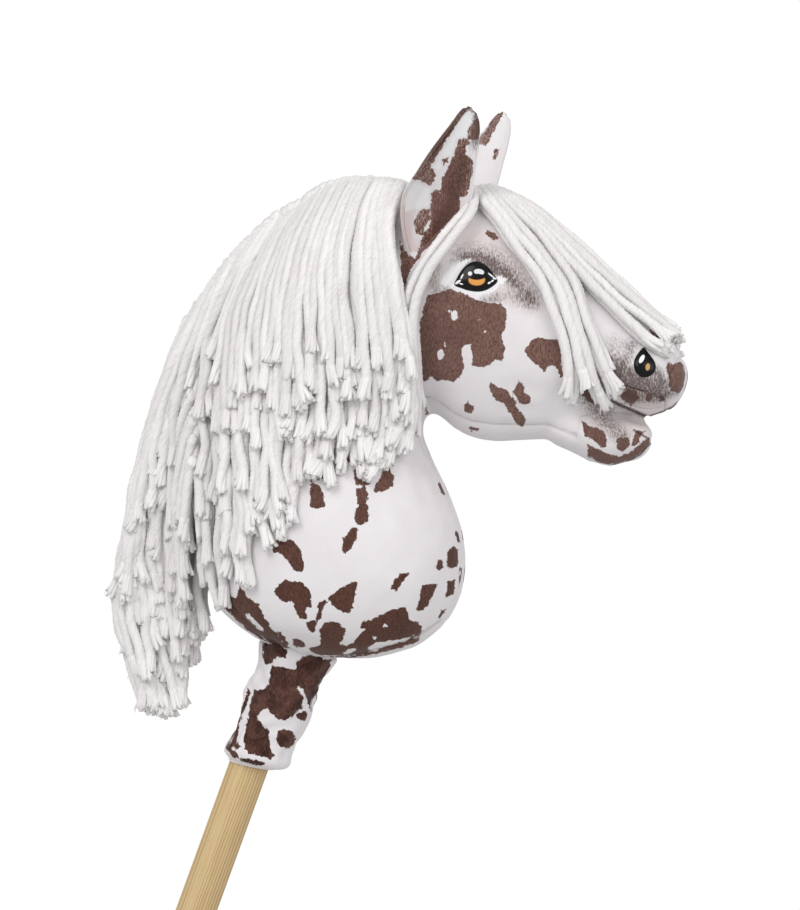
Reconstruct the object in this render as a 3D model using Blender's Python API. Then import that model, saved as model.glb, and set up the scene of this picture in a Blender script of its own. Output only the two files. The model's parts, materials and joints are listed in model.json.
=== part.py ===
"""A stuffed hobby horse on a round wooden stick, piece by piece, at its real size.

Metres, +Z up. The origin is the centre of the stick's lower end face. The horse looks
along +X and leans as it is held in use. Outlines are written in millimetres from the
middle of the cuff's lower edge, as the sewing pattern is, and put in place by place().
"""

import math

import bmesh
import bpy
from mathutils import Vector
from mathutils.bvhtree import BVHTree

MM = 0.001

# Overall sizes
STICK_LEAN = math.radians(20.3)  # from the vertical, top towards the muzzle
STICK_FREE = 0.550  # from the lower end to the cuff
STICK_IN_HEAD = 0.285  # from the cuff's lower edge to the stick's upper end
STICK_DIAMETER = 0.025
STICK_EDGE = 0.0015  # rounded edge at both ends
PATTERN_SCALE = 1.0  # enlargement of the sewing pattern

# Cloth, walls and clearances
PLUSH = 0.0016  # thickness of the plush
GAP = 0.0003  # between pieces that touch
FACET = 0.0005  # what the skins' flat faces may cut into a round surface
GUIDE_FACET = 0.00025  # the same for a guide, which has twice the sides
WELD = 2e-6  # points this close are one after a cut
SHARP_ANGLE = math.radians(40)
STICK_CLEARANCE = 0.0004  # round the stick, in its pocket
POCKET_WALL = 0.0015
CUFF_WALL = 0.0012  # the least cloth outside the elastic's groove
TAPE_THICKNESS = 0.0012
EYE_THICKNESS = 0.0019
NOSTRIL_THICKNESS = 0.0017

STICK_RADIUS = STICK_DIAMETER / 2
BORE_RADIUS = STICK_RADIUS + STICK_CLEARANCE
POCKET_RADIUS = BORE_RADIUS + POCKET_WALL
STICK_DIRECTION = Vector((math.sin(STICK_LEAN), 0, math.cos(STICK_LEAN)))
STICK_ACROSS = Vector((math.cos(STICK_LEAN), 0, -math.sin(STICK_LEAN)))
SIDEWAYS = Vector((0, 1, 0))
CUFF_BOTTOM = STICK_DIRECTION * STICK_FREE

# The body's cross-sections, from the base of the neck over the poll to the muzzle. Each row:
# crest point x z, front point x z, half width, and how far the widest place sits
# towards the crest (-1 to 1).
BODY_SECTIONS = [
    ((8, 79.5), (52, 68), 22, 0.0),
    ((-8, 90), (84, 68.5), 42, 0.0),
    ((-19, 99), (108, 75), 55, 0.0),
    ((-24, 110), (125, 88), 62, 0.0),
    ((-28, 126), (134.5, 103), 66.5, -0.05),
    ((-31, 145), (138.8, 120), 68, -0.10),
    ((-32, 168), (139, 138), 66, -0.12),
    ((-30.5, 192), (134, 158), 62.5, -0.12),
    ((-27, 215), (126.5, 175), 58.5, -0.10),
    ((-20, 240), (119.5, 189.5), 55, -0.08),
    ((-10, 265), (114.2, 202), 52, -0.04),
    ((3, 291), (112.3, 211), 50, 0.0),
    ((22, 317), (112.6, 216.5), 49, 0.04),
    ((46, 341), (114.3, 219.5), 49, 0.06),
    ((75, 357), (117, 221), 49.5, 0.08),
    ((100, 365), (120.5, 221), 50.5, 0.08),
    ((119, 366.5), (126, 217.5), 51.5, 0.10),
    ((140, 365), (133, 211), 53, 0.12),
    ((160, 358.5), (143, 206), 53.5, 0.12),
    ((180, 348.5), (157, 203.5), 52, 0.10),
    ((198, 335.5), (173, 204.5), 48, 0.08),
    ((214, 320.5), (189, 205), 43.5, 0.05),
    ((228, 307.5), (203, 209), 40, 0.0),
    ((240, 296.5), (216, 214), 38, -0.05),
    ((251, 286.5), (228, 222), 37.5, -0.10),
    ((261, 276.5), (241, 221.5), 37.5, -0.10),
    ((269.5, 267), (254, 219), 36, -0.05),
    ((275.5, 259), (264.5, 222.5), 31, 0.0),
    ((279, 249), (273, 229.5), 21, 0.0),
]
BASE_SEAM = 2  # the side panels begin at this section
POLL = 16  # head and neck stuffing part here
MOUTH_CORNER = 23.4  # the chin gusset ends and the mouth panel begins
NOSE_SEAM = 27  # the side panels end here
LAST = len(BODY_SECTIONS) - 1
CHIN_START = 9

# The lower lip's cross-sections: upper point, lower point, half width
LIP_SECTIONS = [
    ((196, 226), (193, 203), 22, 0.0),
    ((207, 228), (205, 197.5), 26, 0.0),
    ((218, 228), (217, 191.5), 27.5, 0.0),
    ((229, 227), (230, 190), 27, 0.0),
    ((240, 223), (243, 193.5), 25, 0.0),
    ((250, 219.5), (252.5, 200), 19.5, 0.0),
    ((256, 216), (257, 207), 10, 0.0),
]

# Half widths of the strips, in millimetres along the skin: (section, half width)
FOREHEAD_WIDTHS = [(13.5, 1.0), (15, 12), (17, 21), (20, 20), (24, 15), (27, 16)]
CHIN_WIDTHS = [(9, 1.0), (12, 16), (15, 25), (19, 26), (21, 22), (23.4, 16)]
MOUTH_WIDTHS = [(23.4, 16), (25, 20), (27, 14)]
WIDEST_STRIP = 0.95  # share of the half width that a strip may take
TAPE_HALF_WIDTH = 6.0
TAPE_SPAN = (6.2, 15.4)  # first and last section under the mane tape
SECTION_SIDES = 24
STRIP_SIDES = 6
TAPE_SIDES = 4
ROD_SIDES = 32
STICK_SIDES = 40
LEAST_STEP = 0.12  # section numbers closer than this to an end are left out

# The cuff: distance along the stick, offset of its middle to the front, outer radius
CUFF_SECTIONS = [
    (1.0, 2.6, 16.8),
    (3.5, 2.9, 19.4),
    (9.0, 3.0, 20.8),
    (15.0, 3.2, 20.6),
    (22.0, 3.8, 19.7),
    (34.0, 4.2, 21.0),
    (46.0, 4.7, 21.9),
    (64.0, 4.8, 21.3),
    (74.0, 3.2, 23.0),
    (90.0, 2.0, 27.0),
]
CUFF_SIDES = 28
POCKET_START = 60.0  # the pocket is sewn into the cuff this far up
CUFF_MOUTH_LIP = 4.0  # the elastic's groove starts this far up the cuff
ELASTIC_WIDTH = 6.0
ELASTIC_THICKNESS = 1.2

# The ears, in the ear's own plan: share of the length, half width, depth of the cup
EAR_LENGTH = 91.0
EAR_SECTIONS = [
    (0.00, 7.0, 3.0),
    (0.08, 13.5, 8.0),
    (0.19, 19.0, 12.0),
    (0.32, 20.5, 12.0),
    (0.44, 20.0, 10.5),
    (0.64, 17.2, 8.0),
    (0.795, 12.4, 5.5),
    (0.917, 7.0, 2.8),
    (1.00, 1.8, 0.8),
]
EAR_BASE = (114.5, -49.0, 325.6)
EAR_LEFT_AHEAD = 4.0  # the left ear is sewn this far further forward
EAR_TIP_LEAN = (0.384, -0.05, 0.923)
EAR_OPENING = (0.42, -0.90, -0.1)
EAR_RIM = 3.5  # the outer cloth shows this wide round the lining
EAR_CLOTH = 1.8
EAR_LINING_CLOTH = 1.4
EAR_LEAST_WIDTH = 0.4
EAR_ACROSS = 8

# Eye and nostril outlines in the side view
EYE_OUTLINE = [
    (139.6, 300.6),
    (143.0, 306.0),
    (148.0, 311.2),
    (153.5, 314.2),
    (159.0, 313.2),
    (163.5, 308.8),
    (166.4, 302.4),
    (161.5, 298.6),
    (155.0, 296.3),
    (148.0, 296.2),
    (143.5, 298.0),
]
NOSTRIL_OUTLINE = [
    (254.0, 262.0),
    (257.5, 259.2),
    (261.0, 255.6),
    (262.4, 250.6),
    (260.6, 246.2),
    (256.2, 243.9),
    (251.8, 245.2),
    (248.8, 248.8),
    (248.6, 253.2),
    (251.2, 257.2),
]
EYE_DEPTHS = (30.0, 75.0)  # the block that becomes the pad runs between these half widths
NOSTRIL_DEPTHS = (12.0, 60.0)


def place(x, z, y=0.0):
    """World point of a place on the sewing pattern, given in millimetres."""
    scale = MM * PATTERN_SCALE
    return CUFF_BOTTOM + Vector((x * scale, y * scale, z * scale))


def between(table, where):
    """Value of a (place, value) table at a place, straight between its rows."""
    if where <= table[0][0]:
        return table[0][1]
    for (first, low), (second, high) in zip(table, table[1:]):
        if where <= second:
            return low + (high - low) * (where - first) / (second - first)
    return table[-1][1]


def section_at(sections, where):
    """Crest point, front point, half width and widest place at any section number."""
    index = min(int(where), len(sections) - 2)
    share = where - index
    low, high = sections[index], sections[index + 1]
    crest = place(*low[0]).lerp(place(*high[0]), share)
    front = place(*low[1]).lerp(place(*high[1]), share)
    scale = MM * PATTERN_SCALE
    half = (low[2] + (high[2] - low[2]) * share) * scale
    widest = low[3] + (high[3] - low[3]) * share
    return crest, front, half, widest


def section_point(sections, where, angle, grow):
    """A point on a cross-section: angle 0 is the crest, pi the front, + is the left side."""
    crest, front, half, widest = section_at(sections, where)
    middle = (crest + front) / 2
    reach = (crest - front) / 2
    length = reach.length
    reach = reach * ((length + grow) / length)
    bulge = 1 + widest * math.cos(angle)
    width = (half * bulge + grow) * math.sin(angle)
    return middle + reach * math.cos(angle) + SIDEWAYS * width


def steps(first, last):
    """Section numbers from first to last, with every whole one between."""
    whole = range(LAST + 1)
    inner = [i for i in whole if first + LEAST_STEP < i < last - LEAST_STEP]
    return [first] + inner + [last]


def gap_in_sections(where):
    """How far along the section numbers one GAP is, at a section."""
    index = min(int(where), LAST - 1)
    here = section_at(BODY_SECTIONS, index)
    there = section_at(BODY_SECTIONS, index + 1)
    shortest = min((here[0] - there[0]).length, (here[1] - there[1]).length)
    return GAP / shortest


def material(name, colour, roughness):
    made = bpy.data.materials.get(name)
    if made is None:
        made = bpy.data.materials.new(name)
        made.use_nodes = True
        shader = made.node_tree.nodes["Principled BSDF"]
        shader.inputs["Base Color"].default_value = (*colour, 1)
        shader.inputs["Roughness"].default_value = roughness
        shader.inputs["Metallic"].default_value = 0.0
    return made


def wood():
    return material("wood", (0.60, 0.45, 0.24), 0.55)


def plush():
    return material("plush", (0.80, 0.78, 0.79), 0.95)


def brown_plush():
    return material("brown_plush", (0.17, 0.10, 0.08), 0.95)


def yarn():
    return material("yarn", (0.78, 0.76, 0.77), 0.9)


def lining_cloth():
    return material("lining", (0.72, 0.62, 0.60), 0.9)


def fibre():
    return material("fibre", (0.86, 0.86, 0.85), 1.0)


def cotton():
    return material("cotton", (0.75, 0.73, 0.68), 0.9)


def gloss_black():
    return material("gloss_black", (0.01, 0.01, 0.012), 0.12)


def new_object(name, points, faces, finish):
    """A mesh object from points and faces, its faces turned outwards."""
    mesh = bpy.data.meshes.new(name)
    mesh.from_pydata([tuple(p) for p in points], [], faces)
    work = bmesh.new()
    work.from_mesh(mesh)
    bmesh.ops.recalc_face_normals(work, faces=work.faces)
    work.to_mesh(mesh)
    work.free()
    mesh.shade_smooth()
    mesh.set_sharp_from_angle(angle=SHARP_ANGLE)
    mesh.materials.append(finish)
    made = bpy.data.objects.new(name, mesh)
    bpy.context.scene.collection.objects.link(made)
    return made


def closed_loft(rings):
    """Points and faces of rings of equal length, closed by a flat face at each end."""
    count = len(rings[0])
    points = [point for ring in rings for point in ring]
    faces = []
    for row in range(len(rings) - 1):
        for side in range(count):
            turn = (side + 1) % count
            low, high = row * count, (row + 1) * count
            faces.append((low + side, low + turn, high + turn, high + side))
    faces.append(tuple(reversed(range(count))))
    faces.append(tuple(range(len(points) - count, len(points))))
    return points, faces


def closed_sheet(inner, outer):
    """Points and faces of a sheet with a wall: two grids of equal size and their rim."""
    rows, columns = len(inner), len(inner[0])
    points = [p for row in inner for p in row] + [p for row in outer for p in row]
    second = rows * columns
    faces = []
    for row in range(rows - 1):
        for column in range(columns - 1):
            corner = row * columns + column
            quad = (corner, corner + 1, corner + columns + 1, corner + columns)
            faces.append(quad)
            faces.append(tuple(second + index for index in reversed(quad)))
    rim = [(0, c) for c in range(columns)]
    rim += [(r, columns - 1) for r in range(1, rows)]
    rim += [(rows - 1, c) for c in range(columns - 2, -1, -1)]
    rim += [(r, 0) for r in range(rows - 2, 0, -1)]
    for here, there in zip(rim, rim[1:] + rim[:1]):
        first = here[0] * columns + here[1]
        after = there[0] * columns + there[1]
        faces.append((after, first, second + first, second + after))
    return points, faces


def body_rings(wheres, grow, sections=BODY_SECTIONS, sides=SECTION_SIDES):
    """Whole cross-sections of the body at section numbers, grown by a distance."""
    turns = [2 * math.pi * i / sides for i in range(sides)]
    return [[section_point(sections, w, a, grow) for a in turns] for w in wheres]


def body_solid(name, first, last, grow, finish, sides=SECTION_SIDES):
    rings = body_rings(steps(first, last), grow, BODY_SECTIONS, sides)
    return new_object(name, *closed_loft(rings), finish)


def body_guide(name, grow):
    """The whole body grown by a distance, round enough to clear every skin. It cuts
    what lies on the body, and is left out of the model."""
    sides = 2 * SECTION_SIDES
    rings = body_rings(steps(0, LAST), grow + GUIDE_FACET, BODY_SECTIONS, sides)
    down = (section_middle(0) - section_middle(1)).normalized() * grow
    ahead = (section_middle(LAST) - section_middle(LAST - 1)).normalized() * grow
    first = [point + down for point in body_rings([0], 0.0, BODY_SECTIONS, sides)[0]]
    last = [point + ahead for point in body_rings([LAST], 0.0, BODY_SECTIONS, sides)[0]]
    solid = new_object(name, *closed_loft([first] + rings + [last]), fibre())
    return helper(solid)


def helper(made):
    """Keeps a guide or cutter out of the model."""
    made.hide_render = True
    made.display_type = "WIRE"
    return made


def cut(target, tool, operation="DIFFERENCE"):
    """Applies a Boolean, so that each piece ends as a plain mesh."""
    modifier = target.modifiers.new("cut", "BOOLEAN")
    modifier.operation = operation
    modifier.solver = "EXACT"
    modifier.object = tool
    graph = bpy.context.evaluated_depsgraph_get()
    mesh = bpy.data.meshes.new_from_object(target.evaluated_get(graph))
    target.modifiers.remove(modifier)
    old = target.data
    target.data = mesh
    bpy.data.meshes.remove(old)
    tidy(target)


def tidy(target):
    work = bmesh.new()
    work.from_mesh(target.data)
    bmesh.ops.remove_doubles(work, verts=work.verts, dist=WELD)
    bmesh.ops.dissolve_degenerate(work, edges=work.edges, dist=WELD)
    work.to_mesh(target.data)
    work.free()


def rod(name, start, end, radius, finish, sides=ROD_SIDES, edge=0.0):
    """A round rod about the stick's axis, start and end being distances from the origin."""
    reach = [(start, radius - edge), (start + edge, radius)]
    reach += [(end - edge, radius), (end, radius - edge)]
    if edge == 0.0:
        reach = [(start, radius), (end, radius)]
    rings = [axis_ring(along, 0.0, size, sides) for along, size in reach]
    return new_object(name, *closed_loft(rings), finish)


def axis_ring(along, offset, radius, sides):
    """A circle square to the stick, its middle moved to the front by offset."""
    middle = STICK_DIRECTION * along + STICK_ACROSS * offset
    ring = []
    for index in range(sides):
        turn = 2 * math.pi * index / sides
        out = STICK_ACROSS * math.cos(turn) + SIDEWAYS * math.sin(turn)
        ring.append(middle + out * radius)
    return ring


def walled(outside, inside, closed_end):
    """Points and faces of a tube or cup: rings up the outside, then rings back down the
    inside. With a closed end, flat faces close both after the outside's last ring."""
    rings = outside + inside
    count = len(rings[0])
    points = [point for ring in rings for point in ring]
    faces = []
    for row in range(len(rings)):
        low = row * count
        high = (row + 1) % len(rings) * count
        if closed_end and row == len(outside) - 1:
            faces.append(tuple(low + side for side in range(count)))
            faces.append(tuple(high + side for side in reversed(range(count))))
            continue
        for side in range(count):
            turn = (side + 1) % count
            faces.append((low + side, low + turn, high + turn, high + side))
    return points, faces


def tube(name, outer, bore, finish, sides, closed_top=False):
    """A turned tube about the stick's axis. outer: rows of along, offset, radius. bore:
    rows of along and radius, from the last outer row back down to the first."""
    outside = [axis_ring(along, offset, radius, sides) for along, offset, radius in outer]
    inside = [axis_ring(along, 0.0, radius, sides) for along, radius in bore]
    return new_object(name, *walled(outside, inside, closed_top), finish)


def make_stick():
    length = STICK_FREE + STICK_IN_HEAD
    return rod("stick", 0.0, length, STICK_RADIUS, wood(), STICK_SIDES, STICK_EDGE)


def make_pocket():
    """The sewn pocket: from the base panel up, closed over the stick's end."""
    bottom = pocket_bottom()
    stop = STICK_FREE + STICK_IN_HEAD + GAP
    outer = [(bottom, 0.0, POCKET_RADIUS), (stop + POCKET_WALL, 0.0, POCKET_RADIUS)]
    bore = [(stop, BORE_RADIUS), (bottom, BORE_RADIUS)]
    return tube("stick_pocket", outer, bore, cotton(), ROD_SIDES, closed_top=True)


def pocket_bottom():
    return STICK_FREE + POCKET_START * MM * PATTERN_SCALE


def pocket_cutter():
    top = STICK_FREE + STICK_IN_HEAD + 2 * GAP + POCKET_WALL
    bottom = pocket_bottom()
    return helper(rod("pocket_cutter", bottom, top, POCKET_RADIUS + GAP, cotton()))


def make_cuff(body):
    """The plush sleeve with its rolled hem, cut to the underside of the neck."""
    scale = MM * PATTERN_SCALE
    outer = []
    for along, offset, radius in CUFF_SECTIONS:
        outer.append((STICK_FREE + along * scale, offset * scale, radius * scale))
    low = STICK_FREE + CUFF_MOUTH_LIP * MM
    high = low + ELASTIC_WIDTH * MM + 2 * GAP
    groove = BORE_RADIUS + ELASTIC_THICKNESS * MM + GAP
    least = [BORE_RADIUS + CUFF_WALL / 2] + [groove + CUFF_WALL] * (len(outer) - 1)
    outer = [(a, o, max(r, thin + o)) for (a, o, r), thin in zip(outer, least)]
    seat = pocket_bottom() - GAP
    bore = [
        (outer[-1][0], POCKET_RADIUS + GAP),
        (seat, POCKET_RADIUS + GAP),
        (seat, BORE_RADIUS),
        (high, BORE_RADIUS),
        (high, groove),
        (low, groove),
        (low, BORE_RADIUS),
        (outer[0][0], BORE_RADIUS),
    ]
    cuff = tube("cuff", outer, bore, brown_plush(), CUFF_SIDES)
    cut(cuff, body)


def make_elastic():
    """The gathering band, in its groove inside the hem."""
    low = STICK_FREE + CUFF_MOUTH_LIP * MM + GAP
    high = low + ELASTIC_WIDTH * MM
    outside = BORE_RADIUS + ELASTIC_THICKNESS * MM
    band = [(low, 0.0, outside), (high, 0.0, outside)]
    inside = [(high, BORE_RADIUS), (low, BORE_RADIUS)]
    tube("cuff_elastic", band, inside, cotton(), CUFF_SIDES)


def strip_angle(widths, where):
    """The angle from the crest or front that a strip's half width takes."""
    half = section_at(BODY_SECTIONS, where)[2]
    width = between(widths, where) * MM * PATTERN_SCALE
    return math.asin(min(width / half, WIDEST_STRIP))


def seam_angle(where):
    half = section_at(BODY_SECTIONS, where)[2]
    return GAP / half


def crest_edge(where):
    if where < FOREHEAD_WIDTHS[0][0]:
        return seam_angle(where)
    return strip_angle(FOREHEAD_WIDTHS, where) + seam_angle(where)


def front_edge(where):
    if where < CHIN_START:
        return seam_angle(where)
    widths = CHIN_WIDTHS if where <= MOUTH_CORNER else MOUTH_WIDTHS
    return strip_angle(widths, where) + seam_angle(where)


def skin_sheet(name, wheres, low_angle, high_angle, inside, outside, sides, finish):
    """A piece of skin: part of the body's surface between two angles, with a wall."""
    grids = []
    for grow in (inside, outside):
        grid = []
        for where in wheres:
            low, high = low_angle(where), high_angle(where)
            row = []
            for step in range(sides + 1):
                angle = low + (high - low) * step / sides
                row.append(section_point(BODY_SECTIONS, where, angle, grow))
            grid.append(row)
        grids.append(grid)
    return new_object(name, *closed_sheet(*grids), finish)


def make_side_panels():
    """The two big pattern pieces, from the base seam to the nose seam."""
    first = BASE_SEAM + gap_in_sections(BASE_SEAM)
    last = NOSE_SEAM - gap_in_sections(NOSE_SEAM)
    wheres = steps(first, last)
    sides = SECTION_SIDES // 2
    for name, turn in (("side_panel_right", -1), ("side_panel_left", 1)):
        skin_sheet(
            name,
            wheres,
            lambda w, t=turn: t * crest_edge(w),
            lambda w, t=turn: t * (math.pi - front_edge(w)),
            -PLUSH,
            0.0,
            sides,
            plush(),
        )


def make_strips():
    """Forehead gusset, chin gusset and the panel in the mouth."""
    strips = [
        ("forehead_gusset", FOREHEAD_WIDTHS, FOREHEAD_WIDTHS[0][0], NOSE_SEAM, 0.0),
        ("chin_gusset", CHIN_WIDTHS, CHIN_START, MOUTH_CORNER, math.pi),
        ("mouth_panel", MOUTH_WIDTHS, MOUTH_CORNER, NOSE_SEAM, math.pi),
    ]
    for name, widths, first, last, centre in strips:
        start = first + gap_in_sections(first)
        end = last - gap_in_sections(last)
        skin_sheet(
            name,
            steps(start, end),
            lambda w, c=centre, t=widths: c - strip_angle(t, w),
            lambda w, c=centre, t=widths: c + strip_angle(t, w),
            -PLUSH,
            0.0,
            STRIP_SIDES,
            plush(),
        )


def bowl(name, wheres, finish):
    """The skin of one end of the body: rings whose first one is closed by a flat face."""
    outside = body_rings(list(reversed(wheres)), 0.0)
    inside = body_rings([inward_from(wheres[0], PLUSH)] + wheres[1:], -PLUSH)
    return new_object(name, *walled(outside, inside, True), finish)


def inward_from(end, distance):
    """The section number that lies a distance inwards from the body's first or last."""
    step = 1 if end == 0 else -1
    spacing = (section_middle(end + step) - section_middle(end)).length
    return end + step * distance / spacing


def section_middle(where):
    crest, front, _, _ = section_at(BODY_SECTIONS, where)
    return (crest + front) / 2


def make_end_panels(pocket):
    base = bowl("neck_base_panel", [0, 1, BASE_SEAM - gap_in_sections(1)], plush())
    cut(base, pocket)
    nose_first = NOSE_SEAM + gap_in_sections(NOSE_SEAM)
    bowl("nose_panel", [LAST, nose_first], plush())


def make_stuffing(pocket):
    """Filling of neck and head, inside the skins, parted at the poll."""
    inset = -(PLUSH + GAP + 2 * FACET)  # flat faces of skin and filling both cut in
    step = gap_in_sections(POLL)
    first = inward_from(0, PLUSH + 2 * GAP)
    last = inward_from(LAST, PLUSH + 2 * GAP)
    neck = body_solid("neck_stuffing", first, POLL - step, inset, fibre())
    cut(neck, pocket)
    head = body_solid("head_stuffing", POLL, last, inset, fibre())
    cut(head, pocket)


def make_lip(body):
    rings = body_rings(range(len(LIP_SECTIONS)), 0.0, LIP_SECTIONS)
    lip = new_object("lower_lip", *closed_loft(rings), plush())
    cut(lip, body)


def outline_block(name, outline, side, depths, finish):
    """An outline of the side view, made a block across one side of the head."""
    rings = []
    for depth in depths:
        rings.append([place(x, z, side * depth) for x, z in outline])
    return new_object(name, *closed_loft(rings), finish)


def make_face(body):
    """Eyes and nostrils: pads that follow the skin, a little proud of it."""
    pads = [
        ("eye", EYE_OUTLINE, EYE_THICKNESS, EYE_DEPTHS),
        ("nostril", NOSTRIL_OUTLINE, NOSTRIL_THICKNESS, NOSTRIL_DEPTHS),
    ]
    for name, outline, thickness, depths in pads:
        shell = body_guide(name + "_cutter", GAP + thickness)
        for word, side in (("_right", -1), ("_left", 1)):
            pad = outline_block(name + word, outline, side, depths, gloss_black())
            cut(pad, shell, "INTERSECT")
            cut(pad, body)


def ear_grid(side, shift_low, shift_high, rim):
    """Two grids of an ear's cloth: its cup, moved along the opening by two shifts."""
    ahead = EAR_LEFT_AHEAD if side > 0 else 0.0
    base = place(EAR_BASE[0] + ahead, EAR_BASE[2], EAR_BASE[1] * -side)
    lean = Vector((EAR_TIP_LEAN[0], EAR_TIP_LEAN[1] * -side, EAR_TIP_LEAN[2])).normalized()
    opening = Vector((EAR_OPENING[0], EAR_OPENING[1] * -side, EAR_OPENING[2]))
    opening = (opening - lean * opening.dot(lean)).normalized()
    across = lean.cross(opening).normalized()
    scale = MM * PATTERN_SCALE
    grids = []
    for shift in (shift_low, shift_high):
        grid = []
        for share, half, depth in EAR_SECTIONS:
            along = min(share * EAR_LENGTH, EAR_LENGTH - rim)
            row = []
            for step in range(EAR_ACROSS + 1):
                v = 2 * step / EAR_ACROSS - 1
                width = max(half - rim, EAR_LEAST_WIDTH) * v
                cup = depth * (1 - (width / half) ** 2)
                point = base + lean * (along * scale) + across * (width * scale)
                row.append(point - opening * (cup * scale - shift * MM))
            grid.append(row)
        grids.append(grid)
    return grids


def make_ears(body):
    for word, side in (("right", -1), ("left", 1)):
        outer = ear_grid(side, -EAR_CLOTH, 0.0, 0.0)
        seat = (GAP + FACET) / MM
        inner = ear_grid(side, seat, seat + EAR_LINING_CLOTH, EAR_RIM)
        for name, grids, finish in (
            (f"ear_{word}_outer", outer, plush()),
            (f"ear_{word}_lining", inner, lining_cloth()),
        ):
            ear = new_object(name, *closed_sheet(*grids), finish)
            cut(ear, body)


def make_tape():
    wheres = steps(*TAPE_SPAN)
    skin_sheet(
        "mane_tape",
        wheres,
        lambda w: -tape_angle(w),
        lambda w: tape_angle(w),
        GAP + FACET / 2,
        GAP + FACET / 2 + TAPE_THICKNESS,
        TAPE_SIDES,
        cotton(),
    )


def tape_angle(where):
    half = section_at(BODY_SECTIONS, where)[2]
    return math.asin(TAPE_HALF_WIDTH * MM * PATTERN_SCALE / half)


# The mane hangs in locks. A lock lies between two lines of the side view, each from its
# root on the crest to its tip, in millimetres. Neighbours share a line.
MANE_LINES = [
    [(96, 362), (94, 336), (104, 306), (107, 268), (107, 236), (108, 208), (104, 186)],
    [(82, 372), (68, 342), (62, 302), (60, 262), (60, 226), (61, 204), (62, 184)],
    [(60, 370), (38, 334), (26, 290), (22, 244), (22, 200), (24, 170), (26, 142)],
    [(34, 358), (10, 322), (-4, 280), (-12, 234), (-14, 186), (-13, 144), (-10, 104)],
    [(10, 343), (-14, 306), (-32, 262), (-43, 214), (-49, 166), (-48, 110), (-42, 36)],
    [(-18, 313), (-43, 279), (-62, 240), (-75, 194), (-86, 144), (-92, 100), (-72, 30)],
]
LOCK_THICKNESS = 15.0
FORELOCK_THICKNESS = 7.0
LOCK_EDGE = 0.45  # share of the thickness left at a lock's sides
LOCK_ROOT = 0.25  # how soon a lock is at its full thickness, as a share of its length
LOCK_TAPER = 0.35  # share of the thickness lost at the tip
LOCK_ROWS = 12
LOCK_COLUMNS = 5
LOCK_INSET = 0.4  # each lock keeps this far inside its lines
FAR_ASIDE = 400.0  # a lock's places are felt for from this far to the side
LOCK_SEAT = 0.15  # from a lock to the guide of what it lies on
LOCK_PROBES = (0.0, 0.25, 0.5, 0.75, 1.0)  # places in a cell where the guide is felt

FORELOCK_LINES = {
    "forelock_bridge": [
        [(130, 372), (152, 368), (183, 354), (214, 326), (242, 299), (265, 273)],
        [(138, 365), (155, 357), (176, 338), (204, 308), (233, 280), (259, 260)],
    ],
    "forelock_front": [
        [(158, 350), (168, 337), (182, 318), (196, 294), (206, 268), (220, 243)],
        [(153, 342), (161, 326), (171, 306), (181, 282), (188, 256), (190, 234)],
    ],
}


def lock_line(points, count):
    """Even steps along a line of points, with the points as its bends."""
    places = [Vector(p) for p in points]
    lengths = [0.0]
    for low, high in zip(places, places[1:]):
        lengths.append(lengths[-1] + (high - low).length)
    row = []
    for step in range(count):
        target = lengths[-1] * step / (count - 1)
        index = 0
        while index < len(places) - 2 and lengths[index + 1] < target:
            index += 1
        share = (target - lengths[index]) / (lengths[index + 1] - lengths[index])
        row.append(places[index].lerp(places[index + 1], share))
    return row


def surface_depth(trees, x, z):
    """Half width of what is under a place of the side view, 0 beyond its outline."""
    start = place(x, z, -FAR_ASIDE)
    depth = 0.0
    for tree in trees:
        hit = tree.ray_cast(start, SIDEWAYS)[0]
        if hit is not None:
            depth = max(depth, -hit.y / (MM * PATTERN_SCALE))
    return depth


def lock_plan(first, second):
    """Grid of side view places between two lines, kept inside them by the inset."""
    one = lock_line(first, LOCK_ROWS)
    two = lock_line(second, LOCK_ROWS)
    plan = []
    for here, there in zip(one, two):
        inset = LOCK_INSET / max((there - here).length, 1e-6)
        row = []
        for column in range(LOCK_COLUMNS):
            share = inset + (1 - 2 * inset) * column / (LOCK_COLUMNS - 1)
            row.append(here.lerp(there, share))
        plan.append(row)
    return plan


def seated_depths(trees, plan):
    """Depths at the places of a plan whose flat cells clear what the lock lies on."""
    rows, columns = len(plan), len(plan[0])
    depths = [[surface_depth(trees, p.x, p.y) for p in row] for row in plan]
    for row in range(rows - 1):
        for column in range(columns - 1):
            below = row + 1
            corners = [(row, column), (row, column + 1), (below, column), (below, column + 1)]
            lack = 0.0
            for down in LOCK_PROBES:
                for over in LOCK_PROBES:
                    shares = [(1 - down) * (1 - over), (1 - down) * over]
                    shares += [down * (1 - over), down * over]
                    spot = Vector((0.0, 0.0))
                    flat = 0.0
                    for share, (r, c) in zip(shares, corners):
                        spot += plan[r][c] * share
                        flat += depths[r][c] * share
                    lack = max(lack, surface_depth(trees, spot.x, spot.y) - flat)
            for r, c in corners:
                depths[r][c] += lack
    return depths


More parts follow.
